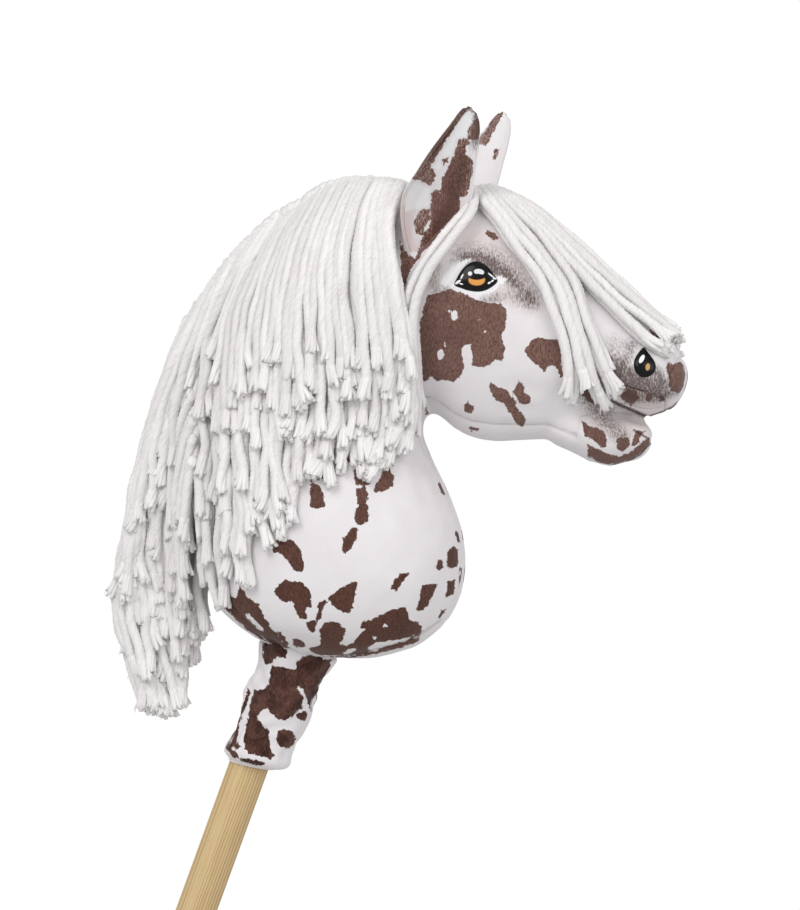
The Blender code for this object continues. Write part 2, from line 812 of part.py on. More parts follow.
def make_lock(name, trees, lines, side, thickness):
    """A bundle of yarn: it lies on the body and hangs straight down past it."""
    plan = lock_plan(*lines)
    depths = seated_depths(trees, plan)
    inner, outer = [], []
    hang = [0.0] * LOCK_COLUMNS
    for row in range(LOCK_ROWS):
        along = row / (LOCK_ROWS - 1)
        rise = math.sin(math.pi / 2 * min(1.0, LOCK_ROOT + along))
        taper = 1.0 - LOCK_TAPER * along**3
        inner_row, outer_row = [], []
        for column in range(LOCK_COLUMNS):
            here = plan[row][column]
            hang[column] = max(hang[column], depths[row][column])
            edge = abs(2 * column / (LOCK_COLUMNS - 1) - 1)
            full = LOCK_EDGE + (1 - LOCK_EDGE) * math.sqrt(1 - edge**2)
            low = hang[column] + LOCK_SEAT
            high = low + thickness * full * rise * taper
            inner_row.append(place(here.x, here.y, side * low))
            outer_row.append(place(here.x, here.y, side * high))
        inner.append(inner_row)
        outer.append(outer_row)
    return new_object(name, *closed_sheet(inner, outer), yarn())


def make_mane(body):
    """Locks on both sides of the crest and down the forehead, clear of body and tape."""
    wheres = steps(*TAPE_SPAN)
    tape = skin_sheet(
        "tape_guide",
        wheres,
        lambda w: -tape_angle(w) - 2 * seam_angle(w),
        lambda w: tape_angle(w) + 2 * seam_angle(w),
        -3 * PLUSH,
        2 * GAP + FACET / 2 + TAPE_THICKNESS,
        TAPE_SIDES,
        cotton(),
    )
    helper(tape)
    graph = bpy.context.evaluated_depsgraph_get()
    trees = [BVHTree.FromObject(guide, graph) for guide in (body, tape)]
    for word, side in (("right", -1), ("left", 1)):
        pairs = zip(MANE_LINES, MANE_LINES[1:])
        for number, lines in enumerate(pairs, start=1):
            name = f"mane_{word}_{number}"
            make_lock(name, trees, lines, side, LOCK_THICKNESS)
        for name, lines in FORELOCK_LINES.items():
            make_lock(f"{name}_{word}", trees, lines, side, FORELOCK_THICKNESS)


def clear_scene():
    for old in list(bpy.data.objects):
        bpy.data.objects.remove(old, do_unlink=True)


def main():
    clear_scene()
    pocket = pocket_cutter()
    body = body_guide("body_cutter", GAP)
    make_stick()
    make_pocket()
    make_cuff(body)
    make_elastic()
    make_side_panels()
    make_strips()
    make_end_panels(pocket)
    make_stuffing(pocket)
    make_lip(body)
    make_face(body)
    make_ears(body)
    make_tape()
    make_mane(body)


main()
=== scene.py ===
"""Dresses a stuffed hobby horse: spotted plush, thick yarn, painted eyes and a wooden stick.

Lengths are metres. Places of the side view are millimetres from the middle of the cuff's
lower edge, as on the sewing pattern, and PIXEL lists hold places read in the photograph,
in its 800 by 910 pixels.
"""

import json
import math
import random

import bmesh
import bpy
import numpy as np
from bpy.props import FloatProperty, FloatVectorProperty, IntProperty, PointerProperty
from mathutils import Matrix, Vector
from mathutils.bvhtree import BVHTree


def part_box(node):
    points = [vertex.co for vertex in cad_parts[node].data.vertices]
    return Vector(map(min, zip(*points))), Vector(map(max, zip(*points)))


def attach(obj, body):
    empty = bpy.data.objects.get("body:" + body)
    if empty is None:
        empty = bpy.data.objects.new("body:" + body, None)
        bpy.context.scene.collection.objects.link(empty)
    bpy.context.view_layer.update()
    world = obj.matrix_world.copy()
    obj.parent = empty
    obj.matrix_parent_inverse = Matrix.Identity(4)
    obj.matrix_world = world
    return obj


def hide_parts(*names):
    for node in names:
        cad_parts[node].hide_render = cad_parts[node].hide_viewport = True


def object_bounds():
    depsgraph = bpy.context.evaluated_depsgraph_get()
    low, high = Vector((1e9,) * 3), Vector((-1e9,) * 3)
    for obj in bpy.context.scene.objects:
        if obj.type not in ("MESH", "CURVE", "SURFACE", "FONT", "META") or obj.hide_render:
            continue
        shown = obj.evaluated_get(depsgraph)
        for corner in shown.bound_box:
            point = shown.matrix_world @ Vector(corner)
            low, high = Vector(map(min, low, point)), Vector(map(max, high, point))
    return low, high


bl_info = {
    "name": "Spotted Hobby Horse",
    "version": (1, 0, 0),
    "blender": (4, 5, 0),
    "location": "View3D > Sidebar > Hobby Horse",
    "description": "Plush coat, yarn mane, painted eyes and wooden stick for a hobby horse",
    "category": "Object",
}

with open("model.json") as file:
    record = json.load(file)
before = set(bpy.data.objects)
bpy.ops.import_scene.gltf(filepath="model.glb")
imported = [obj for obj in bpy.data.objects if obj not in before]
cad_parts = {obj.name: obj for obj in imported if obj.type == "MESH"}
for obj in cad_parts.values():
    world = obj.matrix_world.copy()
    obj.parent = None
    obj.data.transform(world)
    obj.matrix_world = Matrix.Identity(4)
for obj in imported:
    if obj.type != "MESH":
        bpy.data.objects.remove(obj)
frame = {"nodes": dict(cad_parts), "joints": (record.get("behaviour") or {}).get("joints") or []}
CAD_LOW, CAD_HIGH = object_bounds()

MM = 0.001

# The stick's line, and the point that the side view's millimetres start from
STICK_DIRECTION = Vector(frame["joints"][0]["axis"]).normalized()
STICK_LEAN = math.atan2(STICK_DIRECTION.x, STICK_DIRECTION.z)
STICK_ACROSS = Vector((STICK_DIRECTION.z, 0, -STICK_DIRECTION.x))
SIDEWAYS = Vector((0, 1, 0))
STICK_FREE = 0.550
STICK_LENGTH = 0.835
STICK_RADIUS = 0.0125
BORE_RADIUS = 0.0129
CUFF_BOTTOM = STICK_DIRECTION * STICK_FREE

# The photograph's view
IMAGE_WIDTH = 800
IMAGE_HEIGHT = 910
PIXEL = 0.000633  # metres, at the aim's distance
VIEW_AZIMUTH = math.radians(10)
VIEW_DISTANCE = 2.4
CUFF_PIXEL = (249.1, 765.0)
FAR_OUT = 12.0  # pixels from an outline within which places are measured
SENSOR = 36.0
CENTRE = (IMAGE_WIDTH / 2, IMAGE_HEIGHT / 2)
VIEW_RIGHT = Vector((math.cos(VIEW_AZIMUTH), math.sin(VIEW_AZIMUTH), 0))
VIEW_BACK = Vector((math.sin(VIEW_AZIMUTH), -math.cos(VIEW_AZIMUTH), 0))
VIEW_UP = Vector((0, 0, 1))
AIM = (
    CUFF_BOTTOM
    + VIEW_RIGHT * ((CENTRE[0] - CUFF_PIXEL[0]) * PIXEL)
    + VIEW_UP * ((CUFF_PIXEL[1] - CENTRE[1]) * PIXEL)
)
CAMERA_PLACE = AIM + VIEW_BACK * VIEW_DISTANCE

RIGHT, LEFT = -1, 1
SIDES = (("right", RIGHT), ("left", LEFT))
# Brown patches of the coat
CHEEK_PATCH_PIXELS = [
    (427, 294), (437, 293), (450, 289), (461, 292), (469, 296), (480, 301), (492, 303),
    (501, 303), (506, 310), (506, 327), (502, 336), (505, 348), (503, 361), (496, 360),
    (490, 364), (483, 368), (472, 366), (472, 353), (470, 344), (463, 345), (461, 353),
    (464, 367), (461, 377), (452, 382), (444, 379), (437, 381), (431, 376), (424, 382),
    (420, 381), (419, 361), (420, 339), (420, 325), (423, 310),
]
HEAD_PATCH_PIXELS = [
    CHEEK_PATCH_PIXELS,
    [(524, 350), (532, 340), (538, 336), (544, 340), (554, 339), (560, 340), (561, 352),
     (563, 379), (561, 378), (554, 364), (548, 367), (544, 372), (535, 363), (527, 356)],
    [(489, 382), (496, 386), (506, 390), (513, 398), (518, 409), (526, 420), (524, 426),
     (518, 426), (511, 415), (503, 403), (496, 400), (490, 392)],
    [(519, 381), (524, 386), (525, 392), (531, 398), (529, 404), (521, 404), (517, 398),
     (513, 392)],
    [(464, 405), (468, 402), (474, 406), (474, 411), (468, 414), (464, 411)],
    [(468, 427), (474, 427), (479, 430), (472, 431)],
    [(424, 405), (427, 410), (430, 415), (426, 414)],
    [(582, 421), (590, 427), (598, 427), (605, 433), (606, 441), (607, 448), (601, 447),
     (593, 441), (585, 435)],
    [(587, 444), (596, 448), (604, 452), (611, 455), (619, 456), (629, 453), (636, 448),
     (643, 441), (649, 438), (651, 442), (643, 452), (631, 461), (620, 464), (608, 465),
     (599, 463), (588, 456)],
    [(617, 438), (628, 437), (631, 444), (624, 451), (617, 450)],
    [(635, 432), (639, 430), (645, 431), (641, 436), (638, 442), (634, 446), (631, 445)],
    [(620, 391), (627, 389), (634, 390), (638, 393), (639, 399), (635, 402), (631, 406),
     (624, 402), (621, 398)],
    [(646, 394), (652, 393), (653, 399), (648, 402), (645, 400)],
    [(659, 396), (665, 395), (665, 400), (660, 401)],
    [(669, 361), (672, 364), (676, 364), (680, 361), (684, 366), (686, 375), (684, 385),
     (682, 391), (679, 393), (675, 392), (671, 391), (669, 385), (668, 377), (666, 368)],
    [(649, 327), (656, 329), (663, 335), (669, 344), (665, 344), (659, 341), (651, 336)],
    [(676, 343), (679, 346), (681, 351), (678, 348)],
    [(484, 233), (490, 230), (498, 236), (498, 240), (492, 240)],
    [(504, 244), (508, 247), (507, 249)],
    [(566, 274), (572, 277), (576, 281), (571, 279)],
    [(579, 295), (585, 301), (582, 302)],
    [(601, 352), (605, 358), (603, 360)],
    [(568, 350), (574, 356), (580, 372), (590, 390), (596, 404), (590, 404), (580, 392),
     (572, 378)],
    [(400, 240), (408, 254), (416, 258), (425, 250), (415, 262), (409, 275), (404, 290),
     (401, 270)],
]
NECK_PATCH_PIXELS = [
    [(310, 483), (319, 485), (324, 495), (325, 506), (317, 509), (310, 506), (310, 495)],
    [(317, 472), (325, 470), (325, 479), (311, 480)],
    [(336, 441), (344, 447), (349, 457), (349, 464), (344, 466), (341, 457), (338, 449)],
    [(379, 445), (382, 451), (373, 458), (365, 466), (363, 479), (371, 483), (365, 485),
     (355, 485), (354, 474), (357, 462), (365, 457), (373, 451)],
    [(386, 464), (394, 476), (392, 487), (384, 491), (375, 493), (374, 486), (380, 479),
     (382, 470)],
    [(357, 487), (366, 487), (368, 495), (367, 502), (369, 514), (367, 523), (361, 526),
     (355, 523), (355, 514), (358, 506), (357, 499), (355, 495)],
    [(353, 528), (358, 527), (357, 537), (352, 548), (344, 554), (342, 550), (342, 539)],
    [(439, 482), (443, 483), (447, 495), (443, 496), (438, 487)],
    [(456, 531), (459, 532), (462, 543), (458, 542), (455, 535)],
    [(448, 550), (453, 546), (458, 549), (457, 567), (451, 569), (446, 565)],
    [(438, 560), (443, 559), (443, 567), (439, 571), (436, 567)],
    [(460, 567), (465, 567), (464, 581), (460, 588), (459, 579)],
    [(448, 581), (455, 580), (454, 594), (446, 598)],
    [(422, 585), (437, 584), (434, 592), (428, 606), (422, 611), (415, 610), (419, 600),
     (420, 590)],
    [(399, 574), (410, 573), (405, 579), (396, 591), (389, 589), (394, 581)],
    [(447, 607), (445, 611), (440, 619), (438, 617), (442, 610)],
    [(361, 622), (371, 620), (386, 612), (404, 606), (408, 612), (411, 622), (418, 622),
     (423, 630), (420, 635), (400, 639), (379, 644), (366, 653), (343, 657), (329, 657),
     (332, 653), (354, 642), (359, 635), (366, 629), (361, 628)],
    [(328, 598), (339, 589), (354, 581), (358, 584), (355, 596), (353, 606), (350, 614),
     (343, 612), (332, 605)],
    [(318, 603), (325, 600), (329, 601), (323, 606), (321, 617), (316, 626), (314, 634),
     (309, 631), (305, 622), (314, 621), (318, 612)],
    [(325, 622), (333, 621), (343, 626), (346, 631), (343, 639), (339, 644), (348, 646),
     (343, 655), (325, 656), (311, 653), (309, 648), (320, 646), (321, 639), (319, 630)],
    [(274, 589), (284, 580), (300, 582), (311, 592), (312, 606), (306, 608), (307, 619),
     (300, 619), (295, 610), (293, 602), (282, 601), (275, 594)],
    [(270, 543), (279, 537), (294, 541), (302, 551), (304, 564), (302, 573), (294, 571),
     (284, 556), (273, 551)],
    [(222, 575), (226, 590), (236, 600), (240, 583), (247, 597), (259, 605), (265, 618),
     (272, 629), (282, 640), (292, 650), (283, 651), (270, 644), (259, 638), (246, 629),
     (234, 617), (222, 605), (218, 590)],
    [(293, 638), (302, 640), (305, 646), (302, 648), (293, 646)],
    [(329, 657), (345, 657), (366, 653), (379, 648), (400, 642), (420, 636), (419, 641),
     (400, 648), (380, 653), (360, 657), (340, 660)],
    [(277, 631), (282, 633), (289, 644), (287, 646), (280, 639)],
]
# White flecks inside the brown patches
FLECK_PIXELS = [
    [(447, 307), (452, 311), (457, 311), (458, 318), (454, 321), (450, 314)],
    [(444, 340), (446, 340), (447, 348), (444, 347)],
    [(438, 350), (442, 349), (444, 356), (441, 361), (437, 357)],
    [(478, 319), (481, 319), (481, 321), (478, 321)],
    [(484, 330), (487, 330), (487, 333), (484, 333)],
    [(384, 624), (389, 625), (388, 628), (384, 627)],
    [(373, 636), (377, 637), (376, 640), (373, 639)],
    [(367, 648), (375, 643), (390, 641), (397, 641), (385, 647), (372, 652)],
    [(343, 652), (357, 647), (355, 651), (345, 655)],
    [(246, 612), (256, 621), (264, 630), (262, 632), (252, 623), (245, 615)],
]
CUFF_PATCH_PIXELS = [
    [(229, 740), (232, 750), (241, 757), (255, 760), (266, 763), (262, 766), (244, 762),
     (231, 756), (226, 748)],
    [(263, 640), (272, 640), (280, 644), (287, 650), (286, 658), (277, 657), (272, 664),
     (265, 664), (262, 655)],
    [(271, 665), (280, 667), (295, 670), (297, 660), (307, 655), (325, 659), (331, 660),
     (329, 674), (325, 683), (318, 694), (314, 703), (311, 712), (307, 699), (300, 685),
     (297, 689), (304, 698), (302, 708), (293, 715), (286, 720), (277, 719), (271, 714),
     (268, 708), (261, 710), (257, 717), (262, 724), (269, 730), (269, 739), (270, 749),
     (275, 756), (271, 760), (259, 756), (248, 753), (244, 746), (245, 731), (248, 717),
     (250, 703), (254, 690), (266, 689), (270, 676)],
    [(278, 731), (285, 729), (293, 732), (296, 739), (293, 746), (286, 749), (279, 747),
     (276, 739)],
    [(296, 715), (305, 710), (307, 715), (305, 721), (298, 719)],
    [(248, 689), (251, 692), (245, 708), (240, 721), (238, 735), (237, 744), (243, 747),
     (237, 749), (231, 746), (232, 731), (237, 717), (244, 703)],
]
EAR_PATCH_PIXELS = [
    [(459, 139), (467, 138), (469, 128), (476, 118), (480, 123), (480, 131), (478, 139),
     (469, 140), (470, 144), (466, 145), (465, 155), (473, 160), (473, 172), (470, 183),
     (467, 197), (459, 197), (460, 213), (451, 220), (441, 230), (429, 245), (422, 252),
     (416, 256), (423, 235), (429, 227), (430, 218), (431, 205), (431, 192), (435, 190),
     (440, 193), (442, 180), (447, 168), (452, 159), (455, 151)],
    [(460, 106), (467, 105), (471, 108), (465, 112), (459, 121), (452, 131), (446, 141),
     (440, 150), (434, 160), (430, 168), (423, 180), (410, 180), (406, 178), (415, 165),
     (426, 149), (438, 131), (449, 118)],
    [(425, 166), (430, 165), (436, 175), (431, 186), (421, 182)],
    [(442, 160), (448, 157), (449, 162), (443, 166)],
    [(415, 216), (422, 210), (430, 209), (430, 220), (424, 227), (425, 236), (416, 234),
     (414, 224)],
]
EAR_FOOT_PATCH_PIXELS = [
    [(431, 200), (461, 200), (461, 213), (452, 221), (441, 231), (430, 246), (423, 253),
     (416, 257), (420, 240), (428, 228), (430, 216)],
]
FAR_EAR_PATCH_PIXELS = [
    [(493, 114), (504, 110), (500, 120), (494, 131), (486, 146), (477, 143), (486, 129)],
    [(495, 149), (500, 149), (497, 157), (492, 161)],
]
# Strokes of brushed-on brown and of pink: a line, its half width and its strength
SHADE_STROKES = [
    ([(466, 258), (474, 256.5), (482, 257), (493, 262), (502, 270), (509, 278)], 5.5, 1.0),
    ([(478, 260.5), (485, 262.5), (491, 267), (496, 273)], 3.6, 1.0),
    ([(481, 260), (489, 264), (496, 271)], 3.0, 0.9),
    ([(506, 274), (515, 284), (524, 293), (532, 302)], 7.0, 0.75),
    ([(458, 256), (474, 250), (492, 253), (508, 264), (522, 280), (532, 298)], 10.0, 0.4),
    ([(436, 266), (433, 280), (436, 290), (446, 291)], 6.0, 0.5),
    ([(497, 296), (508, 296), (520, 300)], 7.0, 0.35),
    ([(484, 300), (497, 299)], 4.0, 0.5),
    ([(612, 362), (618, 374), (630, 383), (645, 389), (657, 391)], 10.0, 0.95),
    ([(622, 370), (635, 379), (650, 383)], 9.0, 0.9),
    ([(610, 372), (620, 388), (634, 396)], 6.0, 0.85),
    ([(657, 374), (661, 383), (657, 392)], 7.5, 0.85),
    ([(675, 392), (657, 398), (638, 398)], 5.0, 0.7),
    ([(632, 346), (628, 356), (624, 364)], 6.0, 0.55),
    ([(614, 342), (626, 346)], 8.0, 0.3),
    ([(585, 388), (588, 400), (598, 412), (610, 426), (622, 436)], 9.0, 0.65),
    ([(592, 392), (598, 401), (608, 408)], 6.0, 0.7),
]
BLUSH_STROKES = [
    ([(452, 244), (480, 238), (505, 250), (528, 275)], 14.0, 0.6),
    ([(500, 292), (535, 305)], 12.0, 0.5),
    ([(432, 262), (430, 290)], 8.0, 0.5),
    ([(602, 360), (610, 385), (640, 402), (662, 405)], 16.0, 0.5),
    ([(596, 425), (625, 432), (645, 424)], 14.0, 0.5),
]
EAR_BLUSH_STROKES = [
    ([(402, 200), (401, 222), (406, 240), (413, 252)], 9.0, 1.0),
    ([(462, 205), (448, 222)], 6.0, 0.6),
]
# Strokes of white paint round the eye
LID_PAINT_PIXELS = [
    [(448, 284), (456, 289), (466, 293), (478, 295), (489, 293), (497, 288), (504, 280),
     (500, 277), (494, 284), (480, 291), (466, 289), (456, 285)],
    [(440, 284), (445, 274), (452, 267), (464, 260), (472, 258.5), (464, 265), (457, 271),
     (451, 280), (447, 286)],
    [(495, 279), (500, 276), (508, 279), (504, 283), (498, 286)],
]
# Dark lines of the muzzle: painted shadow in the mouth's opening, on the underside of the nose and
# in the lip crease, and dark lines along the lip seam and the chin
INK_AND_SHADOW_LINES = [
    ([(600, 393), (606, 397), (620, 405), (632, 410), (641, 414), (648, 417)], 5.0),
    ([(650, 416.5), (656, 414.5), (664, 411.5), (673, 407), (682, 399)], 4.2),
    ([(610, 381), (618, 384), (627, 386), (636, 389), (644, 391)], 2.2),
    ([(634, 430), (641, 434), (649, 439)], 2.4),
    ([(572, 453), (584, 459), (592, 462), (601, 466)], 2.0),
    ([(651, 443), (640, 455), (626, 462), (608, 466)], 2.0),
]
# Sewn creases that draw the plush in, and along which painted shade darkens it
CREASE_PIXELS = [
    [(613, 382), (622, 385), (632, 389), (641, 391), (663, 399)],
    [(669, 363), (671, 376), (670, 389)],
    [(634, 430), (642, 436), (650, 440)],
    [(221, 588), (232, 606), (246, 622), (262, 637), (285, 650), (310, 657), (335, 659),
     (366, 653), (392, 646), (420, 636), (440, 622)],
]
# Where the lips are stuffed fuller: middle, reach in pixels and height
BULGES = [((642, 456), 17.0, 3.6 * MM), ((610, 466), 14.0, 1.8 * MM), ((668, 408), 10.0, 1.6 * MM)]
MOUTH_PIXELS = [(600, 393), (606, 398), (623, 407), (639, 413), (655, 418)]
# Where the coat gives way to the foot of an ear
EAR_FOOT_PIXELS = [
    (406, 186), (464, 186), (461, 210), (447, 223), (432, 240), (419, 253), (410, 252),
    (402, 238), (399, 212),
]
EYE_PIXELS = [
    (454, 285), (457, 277), (462, 269), (468, 263.5), (475, 261), (482, 262.5), (489, 267.5),
    (494, 274), (498, 281), (493, 286.5), (486, 290.5), (478, 292), (469, 291), (461, 288.5),
]
NOSTRIL_PIXELS = [
    (643.6, 347), (647, 351), (651, 356), (655, 362), (656, 368), (653, 374), (647, 377.5),
    (641, 377), (636, 373), (633.6, 366.5), (634.5, 359), (638.5, 352),
]
# Where the lining is whitest
EAR_PAINT_PIXELS = [
    [(468, 108), (474, 114), (466, 134), (455, 141), (450, 156), (441, 168), (434, 168),
     (442, 152), (455, 130)],
    [(413, 183), (430, 188), (432, 205), (414, 209), (405, 212), (404, 200)],
]
# Brushed-on brown at the tip's rim, and painted shade down the middle of the cup
EAR_SHADE_STROKES = [
    ([(476, 112), (478, 125), (476, 140)], 3.5, 0.6),
    ([(470, 107), (462, 109)], 2.5, 0.4),
    ([(464, 160), (459, 185), (452, 205), (440, 226)], 6.0, 0.45),
    ([(474, 112), (477, 128), (474, 146)], 5.0, 0.55),
]
# Painted shade in the hollow of the cup
EAR_HOLLOW_STROKES = [
    ([(466, 150), (462, 175), (455, 200), (442, 222), (428, 240)], 8.0, 1.0),
    ([(458, 165), (450, 190)], 5.0, 0.5),
]
EAR_INK_LINES = {
    RIGHT: [(463, 109.5), (455, 122), (447, 135), (438, 149), (430, 162), (422, 176)],
    LEFT: [(503, 112), (497, 124), (491, 135), (485, 146)],
}


# The mane's outer lines in the photograph, from root to tip, front to back. The last ones
# hang behind the others, from the lower crest.
MANE_PIXELS = [
    [(405, 184), (397, 203), (391, 222), (391, 240), (394, 262), (398, 284), (402, 306),
     (409, 336), (414, 372), (416, 405), (413, 444)],
    [(390, 181), (382, 200), (378, 225), (378, 255), (380, 290), (383, 330), (386, 370),
     (384, 410), (381, 450), (376, 478)],
    [(371, 180), (359, 200), (350, 225), (345, 255), (343, 285), (346, 320), (349, 355),
     (351, 395), (350, 435), (346, 478)],
    [(349, 180), (337, 200), (326, 225), (317, 252), (313, 285), (312, 320), (313, 360),
     (313, 400), (311, 440), (306, 490)],
    [(325, 186), (311, 208), (298, 232), (288, 262), (281, 295), (276, 330), (272, 370),
     (271, 410), (270, 455), (272, 500), (277, 550)],
    [(300, 203), (284, 226), (270, 250), (257, 280), (247, 312), (242, 350), (240, 390),
     (238, 440), (239, 490), (240, 540), (241, 596)],
    [(275, 216), (257, 240), (240, 268), (226, 298), (215, 330), (208, 370), (205, 415),
     (205, 470), (208, 530), (217, 608)],
    [(252, 238), (233, 264), (216, 294), (202, 326), (192, 362), (185, 400), (181, 450),
     (180, 510), (183, 580), (188, 650), (182, 700)],
    [(228, 263), (210, 290), (194, 322), (180, 355), (168, 395), (160, 440), (155, 500),
     (154, 560), (161, 630), (173, 690), (178, 714)],
    [(205, 297), (190, 326), (175, 360), (161, 395), (151, 435), (142, 480), (136, 535),
     (133, 590), (142, 650), (158, 714)],
    [(185, 325), (171, 358), (158, 395), (148, 432), (138, 475), (128, 520), (121, 570),
     (117, 605), (127, 655), (147, 702)],
    [(196, 348), (180, 378), (166, 412), (156, 455), (149, 510), (146, 570), (150, 632),
     (160, 690)],
    [(196, 388), (183, 415), (174, 455), (168, 505), (165, 560), (167, 615), (174, 670)],
    [(194, 430), (185, 465), (180, 505), (177, 560), (178, 615), (182, 660)],
    [(192, 474), (188, 515), (186, 560), (187, 605), (189, 640)],
]
MANE_ROOT_PIXELS = [
    (405, 190), (392, 193), (377, 198), (360, 204), (342, 214), (322, 226), (303, 243),
    (285, 263), (268, 285), (253, 306), (240, 330), (225, 362), (213, 398), (205, 438),
    (200, 478),
]
MANE_PIECES = [(0, 2), (2, 4), (4, 6), (6, 8), (8, 14)]  # lines between which a lock hangs
MANE_FRONT_CELLS = 10  # the gaps between lines that show in the photograph
# Layers from the skin outwards: strands in front, strands behind, and how far down the
# ends lie, as shares of the way from the highest end to the line's own
MANE_LAYERS = [
    (52, 12, 0.80, 1.03),
    (52, 12, 0.52, 0.86),
    (50, 9, 0.22, 0.64),
    (50, 7, 0.00, 0.36),
]
HIGHEST_END = 346  # the topmost cut end, in pixels

# Strands of the forelock and round the ear, in the photograph. The forelock's fan lies
# between the lines of its group.
FORELOCK_PIXELS = {
    "forelock_front": [
        [(472, 190), (484, 206), (502, 231), (519, 255), (538, 277), (549, 297), (557, 320),
         (562, 343), (567, 370), (565, 388), (560, 402)],
        [(481, 187), (496, 202), (516, 224), (535, 248), (552, 272), (563, 296), (573, 320),
         (582, 348), (592, 378), (603, 409)],
        [(490, 186), (509, 200), (533, 222), (552, 246), (568, 270), (580, 295), (590, 321),
         (600, 347), (612, 372), (620, 386)],
    ],
    "forelock_bridge": [
        [(493, 189), (514, 206), (538, 229), (564, 256), (588, 282), (606, 303), (621, 317),
         (637, 332), (651, 343), (670, 351)],
        [(497, 190), (518, 205), (543, 227), (568, 251), (592, 275), (612, 294), (632, 311),
         (650, 325), (664, 338)],
        [(500, 191), (523, 203), (550, 223), (575, 246), (599, 268), (623, 290), (644, 309),
         (662, 323), (677, 338)],
    ],
}
# Where each strand ends between the lines of its fan; at its root they are evenly spread
FORELOCK_ENDS = {
    "forelock_front": (0.0, 0.08, 0.22, 0.75, 0.92, 1.12, 1.68, 1.85, 2.0),
    "forelock_bridge": (0.0, 0.0, 0.08, 1.35, 1.65, 1.8, 1.95, 2.0),
}
# How far its strands wander, in pixels, and how many of their points are cut off at most
FORELOCK_LOOSE = {"forelock_front": (2.4, 2), "forelock_bridge": (1.3, 1)}
EAR_STRAND_PIXELS = [
    [(470, 185), (472, 198), (467, 209), (458, 219), (446, 233), (435, 247), (425, 262),
     (415, 279), (408, 298), (405, 320), (404, 345), (406, 385), (407, 420), (404, 446)],
    [(473, 190), (474, 204), (468, 217), (458, 230), (449, 242), (439, 255), (429, 269),
     (421, 286), (415, 304), (413, 330), (415, 370), (417, 405), (416, 434)],
    [(428, 268), (419, 285), (411, 303), (408, 325), (410, 350), (411, 380), (410, 408)],
    [(433, 264), (424, 280), (417, 298), (414, 320), (416, 350), (418, 385), (420, 402)],
    [(388, 208), (388, 230), (391, 255), (394, 280), (396, 301), (397, 335), (396, 370),
     (395, 413)],
]


def place(x, z, y=0.0):
    """World point of a place on the sewing pattern, given in millimetres."""
    return CUFF_BOTTOM + Vector((x, y, z)) * MM


def pixels_of(points):
    """Where points show in the photograph, as two arrays."""
    away = points - np.array(CAMERA_PLACE)
    depth = -(away @ np.array(VIEW_BACK))
    scale = VIEW_DISTANCE / PIXEL / depth
    across = CENTRE[0] + away @ np.array(VIEW_RIGHT) * scale
    down = CENTRE[1] - away @ np.array(VIEW_UP) * scale
    return across, down


def pixel_ray(across, down, side=RIGHT):
    """Start and direction of the line of sight through a pixel, mirrored for the left."""
    aim = (
        AIM
        + VIEW_RIGHT * ((across - CENTRE[0]) * PIXEL)
        + VIEW_UP * ((CENTRE[1] - down) * PIXEL)
    )
    start = CAMERA_PLACE.copy()
    direction = (aim - start).normalized()
    if side == LEFT:
        start.y, direction.y = -start.y, -direction.y
    return start, direction


# Meshes


def link(name, mesh):
    piece = bpy.data.objects.new(name, mesh)
    bpy.context.scene.collection.objects.link(piece)
    return piece


def vectors_of(mesh, kind):
    flat = np.empty(len(mesh.vertices) * 3, np.float32)
    mesh.vertices.foreach_get(kind, flat)
    return flat.reshape(-1, 3).astype(float)


def points_of(mesh):
    return vectors_of(mesh, "co")


def normals_of(mesh):
    return vectors_of(mesh, "normal")


def move_points(mesh, points):
    mesh.vertices.foreach_set("co", np.asarray(points, np.float32).ravel())
    mesh.update()


def store(mesh, **numbers):
    """Numbers for each vertex, which a material reads by their names."""
    for name, values in numbers.items():
        attribute = mesh.attributes.get(name) or mesh.attributes.new(name, "FLOAT", "POINT")
        spread = np.zeros(len(mesh.vertices), np.float32) + np.asarray(values, np.float32)
        attribute.data.foreach_set("value", spread)


def deselect():
    for thing in bpy.context.selected_objects:
        thing.select_set(False)


def choose(piece):
    """Makes a piece the only selected one, and active."""
    deselect()
    piece.select_set(True)
    bpy.context.view_layer.objects.active = piece


def edit(piece):
    """Opens a piece in edit mode, to work on its edges."""
    choose(piece)
    bpy.ops.object.mode_set(mode="EDIT")
    bpy.ops.mesh.select_mode(type="EDGE")


def face_outwards(piece):
    """Turns all faces of a closed piece outwards."""
    choose(piece)
    bpy.ops.object.mode_set(mode="EDIT")
    bpy.ops.mesh.select_all(action="SELECT")
    bpy.ops.mesh.normals_make_consistent(inside=False)
    bpy.ops.object.mode_set(mode="OBJECT")
    piece.data.shade_smooth()


def added(name):
    """The primitive that was just added, named."""
    piece = bpy.context.active_object
    piece.name = piece.data.name = name
    bpy.ops.object.transform_apply(location=True, rotation=True, scale=True)
    return piece


def finish_modifier(piece, kind, **settings):
    """Adds a modifier to a piece and applies it."""
    choose(piece)
    modifier = piece.modifiers.new(kind.title(), kind)
    for name, value in settings.items():
        setattr(modifier, name, value)
    bpy.ops.object.modifier_apply(modifier=modifier.name)


def subdivide(piece):
    finish_modifier(piece, "SUBSURF", levels=1, render_levels=1)


def tree_of(mesh, points=None):
    """A search tree of a mesh, with other points if given."""
    if points is None:
        points = points_of(mesh)
    return BVHTree.FromPolygons(points.tolist(), [tuple(p.vertices) for p in mesh.polygons])


def fit_on_body(piece, body, slot, *nodes):
    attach(piece, body)
    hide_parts(*nodes)


# Materials


